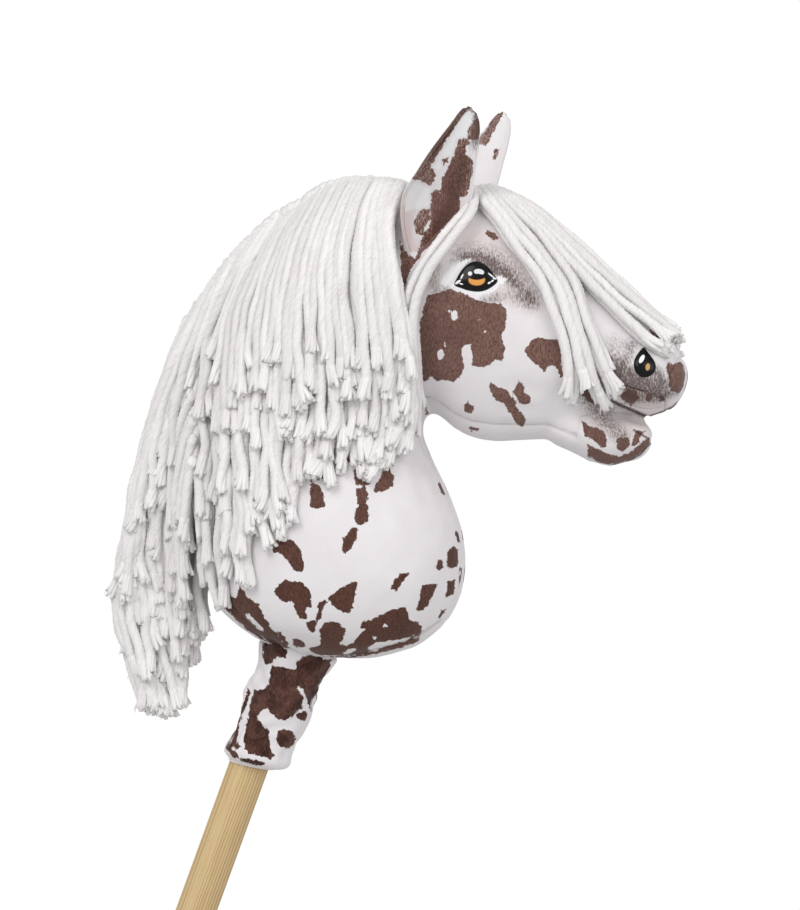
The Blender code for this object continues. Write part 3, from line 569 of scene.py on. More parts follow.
class Value:
    """What a shader node gives. Sums and products of values are nodes too."""

    def __init__(self, socket):
        self.socket, self.tree = socket, socket.id_data

    def calculate(self, operation, *others):
        return add(self.tree, "Math", dict(enumerate((self, *others))), operation=operation)

    def __add__(self, other):
        return self.calculate("ADD", other)

    def __sub__(self, other):
        return self.calculate("SUBTRACT", other)

    def __rsub__(self, other):
        return add(self.tree, "Math", {0: other, 1: self}, operation="SUBTRACT")

    def __mul__(self, other):
        return self.calculate("MULTIPLY", other)

    def clamped(self):
        """The same value, held between 0 and 1."""
        self.socket.node.use_clamp = True
        return self

    def parts(self):
        """The X, Y and Z of a vector."""
        node = add(self.tree, "SeparateXYZ", {0: self}).socket.node
        return [Value(socket) for socket in node.outputs]


def add(tree, kind, inputs=None, output=0, **settings):
    """What a new shader node gives, its inputs set to numbers or joined to other values."""
    node = tree.nodes.new("ShaderNode" + kind)
    for name, value in settings.items():
        setattr(node, name, value)
    join(tree, node, inputs or {})
    return Value(node.outputs[output])


def join(tree, node, inputs):
    for key, value in inputs.items():
        if isinstance(value, Value):
            tree.links.new(value.socket, node.inputs[key])
        else:
            node.inputs[key].default_value = value


def mix(share, first, second, blend="MIX"):
    """A colour between two colours, by a share."""
    tree = next(value.tree for value in (share, first, second) if isinstance(value, Value))
    inputs = {0: share, 6: first, 7: second}
    return add(tree, "Mix", inputs, 2, data_type="RGBA", blend_type=blend)


def darker(base, *tint):
    """A colour multiplied by another, given as sRGB values."""
    return mix(1.0, base, colour(tint), "MULTIPLY")


def ramp(value, low, high):
    """0 below low, 1 above high, smooth between."""
    inputs = {0: value, 1: low, 2: high}
    return add(value.tree, "MapRange", inputs, interpolation_type="SMOOTHSTEP")


def noise(where, scale, detail=2.0, roughness=0.5):
    """A noise from 0 to 1 with features of 1/scale metres."""
    inputs = {"Vector": where, "Scale": scale, "Detail": detail, "Roughness": roughness}
    return add(where.tree, "TexNoise", inputs)


def grain(where, scale, turn=(0, 0, 0), detail=2.0, roughness=0.5):
    """A noise turned and stretched, with its own scale along each axis."""
    inputs = {"Vector": where, "Rotation": turn, "Scale": scale}
    return noise(add(where.tree, "Mapping", inputs), 1.0, detail, roughness)


def colour(values):
    """A colour from sRGB values of 0 to 255."""
    linear = []
    for value in values:
        share = value / 255
        linear.append(share / 12.92 if share <= 0.04045 else ((share + 0.055) / 1.055) ** 2.4)
    return (*linear, 1.0)


class Finish:
    """A material in the making: its tree, its shader and its Object coordinates."""

    def __init__(self, name):
        self.material = bpy.data.materials.new(name)
        self.material.use_nodes = True
        self.tree = self.material.node_tree
        self.where = add(self.tree, "TexCoord", output="Object")

    def stored(self, name):
        """A number that the mesh holds for each vertex."""
        return add(self.tree, "Attribute", output="Fac", attribute_name=name)

    def uv(self, name):
        """The parts of one of the mesh's UV maps."""
        return add(self.tree, "UVMap", uv_map=name).parts()

    def done(self, base, roughness, relief=None, **sockets):
        """Joins colour, roughness and relief to the shader and sets its other sockets."""
        inputs = {"Base Color": base, "Roughness": roughness}
        if relief:
            height, depth, strength = relief
            bump = {"Height": height, "Distance": depth, "Strength": strength}
            inputs["Normal"] = add(self.tree, "Bump", bump)
        for name, value in sockets.items():
            inputs[SOCKETS[name]] = value
        join(self.tree, self.tree.nodes["Principled BSDF"], inputs)
        return self.material


SOCKETS = {
    "sheen": "Sheen Weight",
    "sheen_roughness": "Sheen Roughness",
    "specular": "Specular IOR Level",
    "coat": "Coat Weight",
    "coat_roughness": "Coat Roughness",
}


def plush_material(name, settings, mottle=0.0):
    """Short pile with brown patches, brushed shade, white paint, dark lines partly painted shadow,
    and seams darkened with painted shade.
    """
    finish = Finish(name)
    where, stored = finish.where, finish.stored
    fine = noise(where, 1300, 2, 0.6)
    hairs = grain(where, (1250, 1250, 330), (0, 0.5, 0), 2, 0.6)
    strokes = grain(where, (1200, 1200, 380), (0, -0.6, 0))
    tufts = noise(where, 300, 3, 0.6)
    clouds = noise(where, 45, 3, 0.5)
    dents = noise(where, 85, 2, 0.6)
    fibre = hairs * 0.6 + fine * 0.4

    white = mix(clouds, colour(settings.white_low), colour(settings.white_high))
    white = mix((stored("blush") * 0.75).clamped(), white, colour(settings.blush))

    deepest = colour(settings.brown_low)
    brown = mix(ramp(fibre, 0.3, 0.7), deepest, colour(settings.brown_high))
    brown = mix(ramp(clouds, 0.35, 0.7), brown, mix(0.35, brown, deepest))
    brown = mix(ramp(dents, 0.38, 0.6) * mottle, brown, darker(brown, 176, 162, 164))
    brushed = ramp(strokes, 0.5, 0.62) * stored("brushed")
    brown = mix(brushed * 0.55, brown, colour(settings.brushed))
    # Darker brown where deep is stored: all over the cuff, towards the bottom of the neck, and as
    # painted shade in the ears' hollow
    brown = mix(stored("deep"), brown, darker(brown, 200, 183, 174))

    # The patch edges wander by one or two millimetres, in small hairy steps
    wander = tufts * 4.2 + hairs * 1.8 - 3.0
    cloth = mix(ramp(stored("patch") + wander, -0.2, 0.2), white, brown)

    # Brushed shade breaks up into single hairs as it thins out
    shade = stored("shade")
    thin = shade * (1.45 - shade) * 1.1
    shade = ((strokes * 3.6 - 1.8) * thin + shade).clamped()
    cloth = mix(shade * 0.92, cloth, colour(settings.shade))

    paint = ramp(stored("paint") + (hairs * 5.0 - 2.5), -0.9, 0.7)
    cloth = mix(paint * 0.9, cloth, colour(settings.paint))
    # Painted shade darkens the plush in the grooves of seams and creases
    crease = ramp(stored("seam"), 1.4, 0.1)
    cloth = mix(crease * 0.35, cloth, darker(cloth, 150, 135, 130))
    # Dark lines: partly ink, partly painted shadow of the mouth, the nose's underside and the lip
    # crease
    line = ramp(fine * 0.9 + stored("ink"), 1.0, 0.55)
    cloth = mix(line * 0.92, cloth, colour(settings.ink))
    return finish.done(cloth, fine * 0.12 + 0.84, (tufts * 0.4 + fibre, 0.0005, 0.45),
                       sheen=0.12, sheen_roughness=0.45, specular=0.15)


def yarn_material(name, settings):
    """Soft twisted yarn: fine fibres wind round it, and no two strands match in tone."""
    finish = Finish(name)
    round_it, along, _ = finish.uv("wind")
    angle = round_it * (2 * math.pi)
    wound = add(finish.tree, "CombineXYZ", {
        0: angle.calculate("COSINE") * settings.fibres,
        1: angle.calculate("SINE") * settings.fibres,
        2: along * 1.4,
    })
    fibres = noise(wound, 1.0, 3, 0.55)
    fuzz = noise(finish.where, 1500, 2, 0.6)
    base = mix(finish.stored("tone"), colour(settings.low), colour(settings.high))
    base = mix(ramp(fibres, 0.3, 0.6), darker(base, 243, 242, 243), base)
    return finish.done(base, 0.9, (fibres * 0.8 + fuzz * 0.2, 0.0005, 0.45),
                       sheen=0.2, sheen_roughness=0.5, specular=0.1)


def wood_material(settings):
    """Straight-grained softwood: growth rings run along the stick as fine lines."""
    finish = Finish("softwood")
    turn = {"Vector": finish.where, "Rotation": (0, -STICK_LEAN, 0)}
    lying = add(finish.tree, "Mapping", turn)
    first, second, _ = lying.parts()
    ring = first * math.cos(settings.cut) + second * math.sin(settings.cut)
    ring = grain(lying, (30, 30, 1.6)) * 0.0035 + ring
    wave = ring.calculate("DIVIDE", settings.ring_width).calculate("FRACT")
    groups = ramp(grain(lying, (160, 160, 1), detail=1), 0.38, 0.62)
    late = ramp(wave, 0.35, 0.9) * ramp(wave, 1.0, 0.93) * (groups * 0.75 + 0.25)
    fibre = grain(lying, (1500, 1500, 30), detail=3, roughness=0.6)
    broad = grain(lying, (55, 55, 2.2))
    base = mix(broad, colour(settings.early), colour(settings.mid))
    base = mix(late * 0.85, base, colour(settings.late))
    base = mix(ramp(fibre, 0.35, 0.75), base, darker(base, 236, 226, 212))
    return finish.done(base, fibre * 0.2 + 0.48, (late * 0.5 + fibre * 0.5, 0.00015, 0.5),
                       specular=0.35)


def woven_material(name, shade, thread):
    """A plain weave read from the piece's own UV map, in threads of the given width."""
    finish = Finish(name)
    warp, weft = ((part * (math.pi / thread)).calculate("SINE") for part in finish.uv("weave")[:2])
    weave = (warp * weft + 1.0) * 0.5
    tone = noise(finish.where, 1200) * 0.4 + weave * 0.6
    base = mix(ramp(tone, 0.2, 0.8), colour([value * 0.82 for value in shade]), colour(shade))
    return finish.done(base, 0.9, (weave, 0.0003, 0.7), sheen=0.15)


def ellipse_share(parts, centre, radii, turn, soft):
    """1 inside a turned ellipse of the UV map, 0 outside."""
    right, down = parts[0] - centre[0], parts[1] - centre[1]
    squares = []
    for radius, angle in zip(radii, (turn, turn + 90)):
        lean = math.radians(angle)
        away = right * (math.cos(lean) / radius) + down * (math.sin(lean) / radius)
        squares.append(away * away)
    return ramp(squares[0] + squares[1], 1 + soft, 1 - soft)


def gloss_material(name, settings, spots):
    """Glossy black with painted spots: colour's name, centre, radii, turn in degrees, cut."""
    finish = Finish(name)
    parts = finish.uv("face")
    specks = noise(finish.where, 900)
    base = mix(specks, colour(settings.black), colour([v + 5 for v in settings.black]))
    for paint, centre, radii, turn, cut in spots:
        share = ellipse_share(parts, centre, radii, turn, 0.22)
        if cut is not None:
            share = share * (1.0 - ellipse_share(parts, cut[:2], cut[2:], 0.0, 0.12))
        base = mix(share, base, colour(getattr(settings, paint)))
    return finish.done(base, 0.22, (specks, 0.0001, 0.15),
                       specular=0.14, coat=0.08, coat_roughness=0.08)


# Fields of the photographed patches


def bell(away, width):
    """1 at a distance of 0, smoothly down to 0."""
    return np.exp(-((away / width) ** 2))


def fade(value, start, length):
    """0 before a start, 1 a length further on."""
    return np.clip((value - start) / length, 0, 1)


def outline_depth(across, down, outline):
    """How deep each place lies inside an outline, in pixels, below 0 outside."""
    corners = np.array(outline, float)
    low, high = corners.min(0) - FAR_OUT, corners.max(0) + FAR_OUT
    depth = np.full(len(across), -FAR_OUT)
    near = (across > low[0]) & (across < high[0]) & (down > low[1]) & (down < high[1])
    x, y = across[near], down[near]
    inside = np.zeros(len(x), bool)
    for (ax, ay), (bx, by) in zip(corners, np.roll(corners, -1, 0)):
        if ay != by:
            crosses = (ay > y) != (by > y)
            inside ^= crosses & (x < (bx - ax) * (y - ay) / (by - ay) + ax)
    rim = np.minimum(line_distance(x, y, [*outline, outline[0]]), FAR_OUT)
    depth[near] = np.where(inside, rim, -rim)
    return depth


def depth_in(across, down, outlines):
    """How deep each place lies inside any of some outlines."""
    deepest = np.full(len(across), -FAR_OUT)
    for outline in outlines:
        deepest = np.maximum(deepest, outline_depth(across, down, outline))
    return deepest


def line_distance(across, down, line):
    """Distance in pixels from a broken line."""
    nearest = np.full(len(across), 1e3)
    for (ax, ay), (bx, by) in zip(line, line[1:]):
        length = (bx - ax) ** 2 + (by - ay) ** 2
        share = np.clip(((across - ax) * (bx - ax) + (down - ay) * (by - ay)) / length, 0, 1)
        away = np.hypot(across - ax - share * (bx - ax), down - ay - share * (by - ay))
        nearest = np.minimum(nearest, away)
    return nearest


def strokes(across, down, table):
    """Soft strokes laid over each other, as a share up to 1."""
    clear = np.ones(len(across))
    for line, width, strength in table:
        clear *= 1 - strength * bell(line_distance(across, down, line), width)
    return 1 - clear


def cloth_pixels(points, normals, warp):
    """Places on the photographed cloth. The left side mirrors the right, with its own
    wander, and cloth that turns away from the view carries on past the outline."""
    here, facing = points.copy(), normals.copy()
    left = here[:, 1] > 0
    aside = np.abs(here[:, 1])
    here[:, 1] = -aside
    facing[:, 1] = np.where(left, -facing[:, 1], facing[:, 1])
    across, down = pixels_of(here)
    turned = np.degrees(np.arccos(np.clip(facing @ np.array(VIEW_BACK), -1, 1)))
    out = np.stack([facing @ np.array(VIEW_RIGHT), -facing[:, 2]], 1)
    out /= np.maximum(np.linalg.norm(out, axis=1, keepdims=True), 1e-6)
    beyond = 16 * (np.maximum(turned - 76, 0) / 18) ** 1.6
    across = across + out[:, 0] * beyond
    down = down + out[:, 1] * beyond
    grow = left * fade(aside, 0, 0.03) * warp
    return (
        across + grow * (9 * np.sin(down / 23 + 1.0) + 5 * np.sin(across / 31)),
        down + grow * (8 * np.sin(across / 27 + 2.0) + 5 * np.sin(down / 37 + 0.5)),
    )


def mirrored_pixels(points):
    """Pixels of points, those of the left side as if they were on the right."""
    aside = points.copy()
    aside[:, 1] = -np.abs(aside[:, 1])
    return pixels_of(aside)


def paint_patches(mesh, outlines, flecks=()):
    """Stores the brown patches that the plush material reads, and nothing painted on."""
    across, down = cloth_pixels(points_of(mesh), normals_of(mesh), 1.0)
    patch = np.minimum(depth_in(across, down, outlines), -depth_in(across, down, flecks))
    store(mesh, patch=patch * PIXEL / MM, paint=-FAR_OUT, ink=FAR_OUT)
    store(mesh, shade=0, blush=0, deep=0, brushed=0, seam=FAR_OUT)


def paint_face(mesh):
    """Stores the coat's shade, blush, paint and dark lines with their painted shadow, and its
    deeper brown below.
    """
    points = points_of(mesh)
    across, down = cloth_pixels(points, normals_of(mesh), 0.0)
    store(mesh, paint=depth_in(across, down, LID_PAINT_PIXELS) * PIXEL / MM)
    store(mesh, shade=strokes(across, down, SHADE_STROKES))
    store(mesh, blush=strokes(across, down, BLUSH_STROKES))
    # Painted shadow in the mouth, on the nose's underside and in the lip crease, and the dark
    # lines of lip seam and chin
    across, down = mirrored_pixels(points)
    lines = [line_distance(across, down, line) / width for line, width in INK_AND_SHADOW_LINES]
    store(mesh, ink=np.minimum(np.min(lines, axis=0), FAR_OUT))
    store(mesh, deep=fade(down, 420, 120) * (across < 480))


# The coat

PANELS = [
    "side_panel_right",
    "side_panel_left",
    "forehead_gusset",
    "nose_panel",
    "chin_gusset",
    "mouth_panel",
    "lower_lip",
]
BASE_PANEL = "neck_base_panel"
STUFFING_INSET = 2.9 * MM
LIP_TOP_NEAR = 0.8 * MM  # the lip's cut top lies this near the skin
LIP_JOIN = 5.5 * MM  # and is raised this far into the head
MOUTH_START = 215.0  # the mouth's line fades in from here forwards
VOXEL = 3.4 * MM
PUFF_FRAMES = 20
PUFF_PRESSURE = 4.0
PUFF_CAP = 4.2 * MM
PUFF_SHARE = 0.3  # how much of the swelling shows beside the sewing pattern's own shape
SEAM_NEAR = 30 * MM  # seams are looked for this far round a panel
SEAM_STITCH = 1.6 * MM  # the filling is held fast this near to a seam
SEAM_HOLD = 5.0 * MM  # and drawn in this near to it
SEAM_LINE = 1.5  # half width of a seam's own line, in millimetres
BORE_CLEAR = 15.4 * MM
BORE_HOLD = 18 * MM  # cloth this near the stick stays where it is
CUFF_RING = 24 * MM  # the pleats lie round the cuff at this distance from the stick
CUFF_RING_WIDTH = 16 * MM
CUFF_RING_TOP = STICK_FREE + 0.105
PLEATS = 15
MOUTH_ENDS = (597, 656)  # where the mouth's line fades in and out, in pixels
FINE_BOXES = [(430, 250, 514, 304), (574, 338, 694, 470)]


def clean_copy(bm, node):
    """Adds a CAD node's mesh to a bmesh, its loose triangles merged."""
    first = len(bm.verts)
    bm.from_mesh(frame["nodes"][node].data)
    bm.verts.ensure_lookup_table()
    bmesh.ops.remove_doubles(bm, verts=bm.verts[first:], dist=1e-6)


def node_tree_of(*nodes):
    """A search tree of one or more CAD nodes."""
    points, faces = [], []
    for node in nodes:
        mesh = frame["nodes"][node].data
        first = len(points)
        points += points_of(mesh).tolist()
        faces += [tuple(first + i for i in p.vertices) for p in mesh.polygons]
    return BVHTree.FromPolygons(points, faces)


def stuffing_object():
    """Filling of neck, head and lower lip in one skin."""
    bm = bmesh.new()
    clean_copy(bm, "neck_stuffing")
    clean_copy(bm, "head_stuffing")
    lip = bmesh.new()
    clean_copy(lip, "lower_lip")
    lip.normal_update()
    skin = node_tree_of(*PANELS[:-1])
    moves = []
    for vert in lip.verts:
        up = skin.find_nearest(vert.co)[3] < LIP_TOP_NEAR
        moves.append(Vector((0, 0, LIP_JOIN)) if up else vert.normal * -STUFFING_INSET)
    for vert, move in zip(lip.verts, moves):
        vert.co += move
    lip_mesh = bpy.data.meshes.new("lip")
    lip.to_mesh(lip_mesh)
    bm.from_mesh(lip_mesh)
    mesh = bpy.data.meshes.new("coat")
    bm.to_mesh(mesh)
    bm.free()
    lip.free()
    bpy.data.meshes.remove(lip_mesh)
    return link("coat", mesh)


def seam_distances(points):
    """Distance of each point from the nearest seam between two cloth panels."""
    found = np.full((len(points), len(PANELS)), 1.0)
    for index, panel in enumerate(PANELS):
        tree = node_tree_of(panel)
        low, high = (np.array(corner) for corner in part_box(panel))
        near = np.all((points > low - SEAM_NEAR) & (points < high + SEAM_NEAR), 1)
        for row in np.nonzero(near)[0]:
            found[row, index] = tree.find_nearest(Vector(points[row]))[3]
    behind = np.clip((place(MOUTH_START, 0).x - points[:, 0]) / 0.02, 0, 1)
    found[:, -1] += behind * 0.05
    order = np.sort(found, axis=1)
    return np.sqrt(np.maximum(order[:, 1] ** 2 - order[:, 0] ** 2, 0))


def axis_distance(points):
    """Distance from the stick's axis and place along it."""
    direction = np.array(STICK_DIRECTION)
    along = points @ direction
    return np.linalg.norm(points - along[:, None] * direction, axis=1), along


def axis_angle(points):
    """Direction of points round the stick's axis."""
    return np.arctan2(points @ np.array(SIDEWAYS), points @ np.array(STICK_ACROSS))


def keep_bore_open(points):
    """Pushes the filling back from the stick's pocket."""
    away, along = axis_distance(points)
    centre = along[:, None] * np.array(STICK_DIRECTION)
    inside = (away < BORE_CLEAR) & (away > 0.004) & (along < STICK_LENGTH + MM)
    scale = np.where(inside, BORE_CLEAR / np.maximum(away, 1e-4), 1.0)
    return centre + (points - centre) * scale[:, None]


def skin_points(points, normals):
    """The nearest places on the outside of the CAD's cloth."""
    tree = node_tree_of(BASE_PANEL, *PANELS)
    out = points + normals * (4 * MM)
    return np.array([tree.find_nearest(Vector(p))[0] for p in out])


def puff(coat, hold):
    """Swells the filling with cloth pressure, held in at the seams and the pocket."""
    group = coat.vertex_groups.new(name="hold")
    for index in np.nonzero(hold)[0]:
        group.add([int(index)], 1.0, "REPLACE")
    cloth = coat.modifiers.new("Cloth", "CLOTH")
    cloth.settings.use_pressure = True
    cloth.settings.uniform_pressure_force = PUFF_PRESSURE
    cloth.settings.effector_weights.gravity = 0
    cloth.settings.vertex_group_mass = "hold"
    cloth.point_cache.frame_start = 1
    cloth.point_cache.frame_end = PUFF_FRAMES
    scene = bpy.context.scene
    for step in range(1, PUFF_FRAMES + 1):
        scene.frame_set(step)
    graph = bpy.context.evaluated_depsgraph_get()
    swollen = points_of(coat.evaluated_get(graph).data)
    coat.modifiers.remove(cloth)
    coat.vertex_groups.remove(group)
    scene.frame_set(1)
    return swollen


def swelling(coat, rest, skin, hold):
    """How far the filling swells, mixed with the way to the sewing pattern's shape."""
    moved = puff(coat, hold) - rest
    typical = np.median(np.linalg.norm(moved, axis=1)[~hold])
    moved *= STUFFING_INSET / max(typical, 1e-5)
    size = np.linalg.norm(moved, axis=1)
    moved *= np.minimum(1, PUFF_CAP / np.maximum(size, 1e-6))[:, None]
    return moved * PUFF_SHARE + skin * (1 - PUFF_SHARE)


def even_out(mesh, values, rounds):
    """Averages vectors over neighbouring vertices."""
    edges = np.empty(len(mesh.edges) * 2, np.int32)
    mesh.edges.foreach_get("vertices", edges)
    first, second = edges[::2], edges[1::2]
    count = np.zeros(len(values))
    np.add.at(count, first, 1)
    np.add.at(count, second, 1)
    for _ in range(rounds):
        total = np.zeros_like(values)
        np.add.at(total, first, values[second])
        np.add.at(total, second, values[first])
        values = values * 0.5 + total / np.maximum(count, 1)[:, None] * 0.5
    return values


def refine(mesh, boxes, cuts):
    """Splits the faces whose middles show in boxes of the photograph."""
    bm = bmesh.new()
    bm.from_mesh(mesh)
    bm.faces.ensure_lookup_table()
    middles = np.array([face.calc_center_median() for face in bm.faces])
    across, down = mirrored_pixels(middles)
    chosen = np.zeros(len(middles), bool)
    for x0, y0, x1, y1 in boxes:
        chosen |= (across > x0) & (across < x1) & (down > y0) & (down < y1)
    edges = {edge for index in np.nonzero(chosen)[0] for edge in bm.faces[index].edges}
    edges = sorted(edges, key=lambda edge: edge.index)
    bmesh.ops.subdivide_edges(bm, edges=edges, cuts=cuts, use_grid_fill=True, smooth=0.0)
    bm.to_mesh(mesh)
    bm.free()
    mesh.shade_smooth()


def mouth_relief(across, down, normals, settings):
    """How deep the line between the lips lies, below 0 on the upper lip that overhangs it."""
    line_across, line_down = np.array(MOUTH_PIXELS, float).T
    above = np.interp(across, line_across, line_down) - down
    start, end = MOUTH_ENDS
    near = fade(across, start, 10) * fade(-across, -end, 14)
    under = bell(above, 10) * (above <= 0)
    over = bell(above, 8) * (above > 0) * np.clip(np.abs(normals[:, 1]) * 2 - 0.5, 0, 1)
    return near * (settings.mouth_depth * under - settings.lip_over * over)


def press_in(mesh, settings):
    """Draws in seams, creases, mouth, ear feet and pleats, and rounds out the lips."""
    points, normals = points_of(mesh), normals_of(mesh)
    across, down = mirrored_pixels(points)
    seams = seam_distances(points) / MM
    for line in CREASE_PIXELS:
        seams = np.minimum(seams, line_distance(across, down, line) * PIXEL / MM)
    away, along = axis_distance(points)
    depth = settings.seam_depth * bell(seams, SEAM_LINE)
    depth += mouth_relief(across, down, normals, settings)
    for (x, y), reach, size in BULGES:
        depth -= size * bell(np.hypot(across - x, down - y), reach)
    foot = outline_depth(across, down, EAR_FOOT_PIXELS)
    depth += settings.ear_foot * fade(foot, -2, 8) ** 2
    gather = bell(away - CUFF_RING, CUFF_RING_WIDTH) * (along < CUFF_RING_TOP)
    depth -= settings.pleat * gather * np.sin(axis_angle(points) * PLEATS)
    depth[away < BORE_HOLD + MM] = 0
    move_points(mesh, points - normals * depth[:, None])
    return seams


def make_coat(settings):
    coat = stuffing_object()
    finish_modifier(coat, "REMESH", mode="VOXEL", voxel_size=VOXEL)
    finish_modifier(coat, "SMOOTH", factor=0.5, iterations=3)
    rest = keep_bore_open(points_of(coat.data))
    move_points(coat.data, rest)
    away, along = axis_distance(rest)
    bore = (away < BORE_HOLD) & (along < STICK_LENGTH + 4 * MM)
    seams = seam_distances(rest)
    normals = normals_of(coat.data)
    moved = skin_points(rest, normals) - rest
    moved = swelling(coat, rest, moved, bore | (seams < SEAM_STITCH))
    moved = even_out(coat.data, moved, 8)
    moved -= normals * (settings.seam_tuck * bell(seams, SEAM_HOLD))[:, None]
    moved[bore] = 0
    move_points(coat.data, rest + moved)
    subdivide(coat)
    refine(coat.data, FINE_BOXES, 2)
    seams = press_in(coat.data, settings)
    patches = HEAD_PATCH_PIXELS + NECK_PATCH_PIXELS + EAR_FOOT_PATCH_PIXELS
    paint_patches(coat.data, patches + EAR_PATCH_PIXELS[-1:], FLECK_PIXELS)
    paint_face(coat.data)
    store(coat.data, seam=seams)
    coat.data.materials.clear()
    coat.data.materials.append(plush_material("spotted_plush", settings))
    coat.data.shade_smooth()
    fit_on_body(coat, "head", "plush", BASE_PANEL, *PANELS, "neck_stuffing", "head_stuffing")
    return coat


# The stick


def make_stick(settings):
    """A turned softwood rod with eased ends."""
    deselect()
    middle = STICK_DIRECTION * (STICK_LENGTH / 2)
    bpy.ops.mesh.primitive_cylinder_add(
        vertices=96,
        radius=STICK_RADIUS,
        depth=STICK_LENGTH,
        location=middle,
        rotation=(0, STICK_LEAN, 0),
    )
    stick = bpy.context.active_object
    stick.name = stick.data.name = "stick_wood"
    bpy.ops.object.mode_set(mode="EDIT")
    bpy.ops.mesh.select_mode(type="EDGE")
    bpy.ops.mesh.select_all(action="DESELECT")
    bpy.ops.object.mode_set(mode="OBJECT")
    half = STICK_LENGTH / 2 - MM
    for edge in stick.data.edges:
        ends = [stick.data.vertices[i].co.z for i in edge.vertices]
        edge.select = min(abs(z) for z in ends) > half and ends[0] * ends[1] > 0
    bpy.ops.object.mode_set(mode="EDIT")
    bpy.ops.mesh.bevel(offset=settings.edge, segments=4, affect="EDGES")
    bpy.ops.object.mode_set(mode="OBJECT")
    bpy.ops.object.transform_apply(location=True, rotation=True, scale=True)
    bpy.ops.object.shade_smooth_by_angle(angle=math.radians(40))
    stick.data.materials.append(wood_material(settings))
    fit_on_body(stick, "stick", "wood", "stick")


# The cuff, its elastic and the pocket

CUFF_ROWS = 46
CUFF_COLUMNS = 120
CUFF_LOW = 1.5 * MM
CUFF_TOP = 88 * MM
CUFF_CLOTH = 2.2 * MM
CUFF_SPARE = 24 * MM  # its radius where the CAD cuff has a gap
CUFF_INSIDE = 14.7 * MM
BAND_TOP = 12 * MM  # the hem's inside lies on the stick up to here
BAND_RADIUS = BORE_RADIUS + 0.4 * MM
HEM_TILT = 2.2 * MM  # the hem runs a little higher on the muzzle's side
HEM_LIPS = ((-0.8, 1.0), (-1.0, 2.2), (-0.2, 3.4))  # its turned edge: rise and way inwards
INSIDE_RISE = 2.6 * MM


def ring_of(along, radius, angle):
    """Points round the stick: angle 0 faces the muzzle's side."""
    out = np.outer(np.cos(angle), STICK_ACROSS) + np.outer(np.sin(angle), SIDEWAYS)
    middle = np.outer(np.zeros(len(angle)) + along, STICK_DIRECTION)
    return middle + out * (np.zeros(len(angle)) + radius)[:, None]


def cuff_radius(tree, along, angle):
    """Distance from the stick's axis to the outside of the CAD cuff."""
    out = Vector(ring_of(0, 1, [angle])[0])
    hit = tree.ray_cast(STICK_DIRECTION * along + out * 0.08, -out)[0]
    return CUFF_SPARE if hit is None else (hit - STICK_DIRECTION * along).length


def folds(angle, rise):
    """Millimetres that the cuff's cloth stands out: long folds wind up it, and shorter ones
    cross them, down to the gathers over the hem."""
    height = np.sin(angle * 3 + rise * 75 + 0.6)
    height += 0.8 * np.sin(angle * 4 - rise * 160 + 1.3)
    height += 0.6 * np.sin(angle * 7 + rise * 230 + 2 * np.sin(rise * 110))
    height += 0.4 * np.sin(angle * 10 - rise * 310 + 2 * np.sin(rise * 150 + angle))
    gathers = 0.5 * np.sin(angle * PLEATS + np.sin(angle * 3)) - 0.7
    return height * fade(rise, 0.012, 0.014) + gathers * bell(rise - 0.016, 0.007)


def drawn_sleeve(name, profile, columns):
    """A sleeve of (along, radius) rows: a circle drawn out row by row, its ends bridged."""
    deselect()
    low, width = profile[0]
    bpy.ops.mesh.primitive_circle_add(
        vertices=columns, radius=width, location=STICK_DIRECTION * low,
        rotation=(0, STICK_LEAN, 0))
    sleeve = added(name)
    edit(sleeve)
    for (start, before), (end, after) in zip(profile, profile[1:]):
        rise = STICK_DIRECTION * (end - start)
        bpy.ops.mesh.extrude_region_move(TRANSFORM_OT_translate={"value": rise})
        bpy.ops.transform.resize(
            value=(after / before,) * 3, center_override=STICK_DIRECTION * end)
    bpy.ops.mesh.select_all(action="DESELECT")
    bpy.ops.mesh.select_non_manifold()
    bpy.ops.mesh.bridge_edge_loops()
    bpy.ops.object.mode_set(mode="OBJECT")
    face_outwards(sleeve)
    return sleeve


def columns_of(angles, columns):
    """Which of some even columns round a circle each angle lies on."""
    return np.rint(angles / (2 * math.pi) * columns).astype(int) % columns


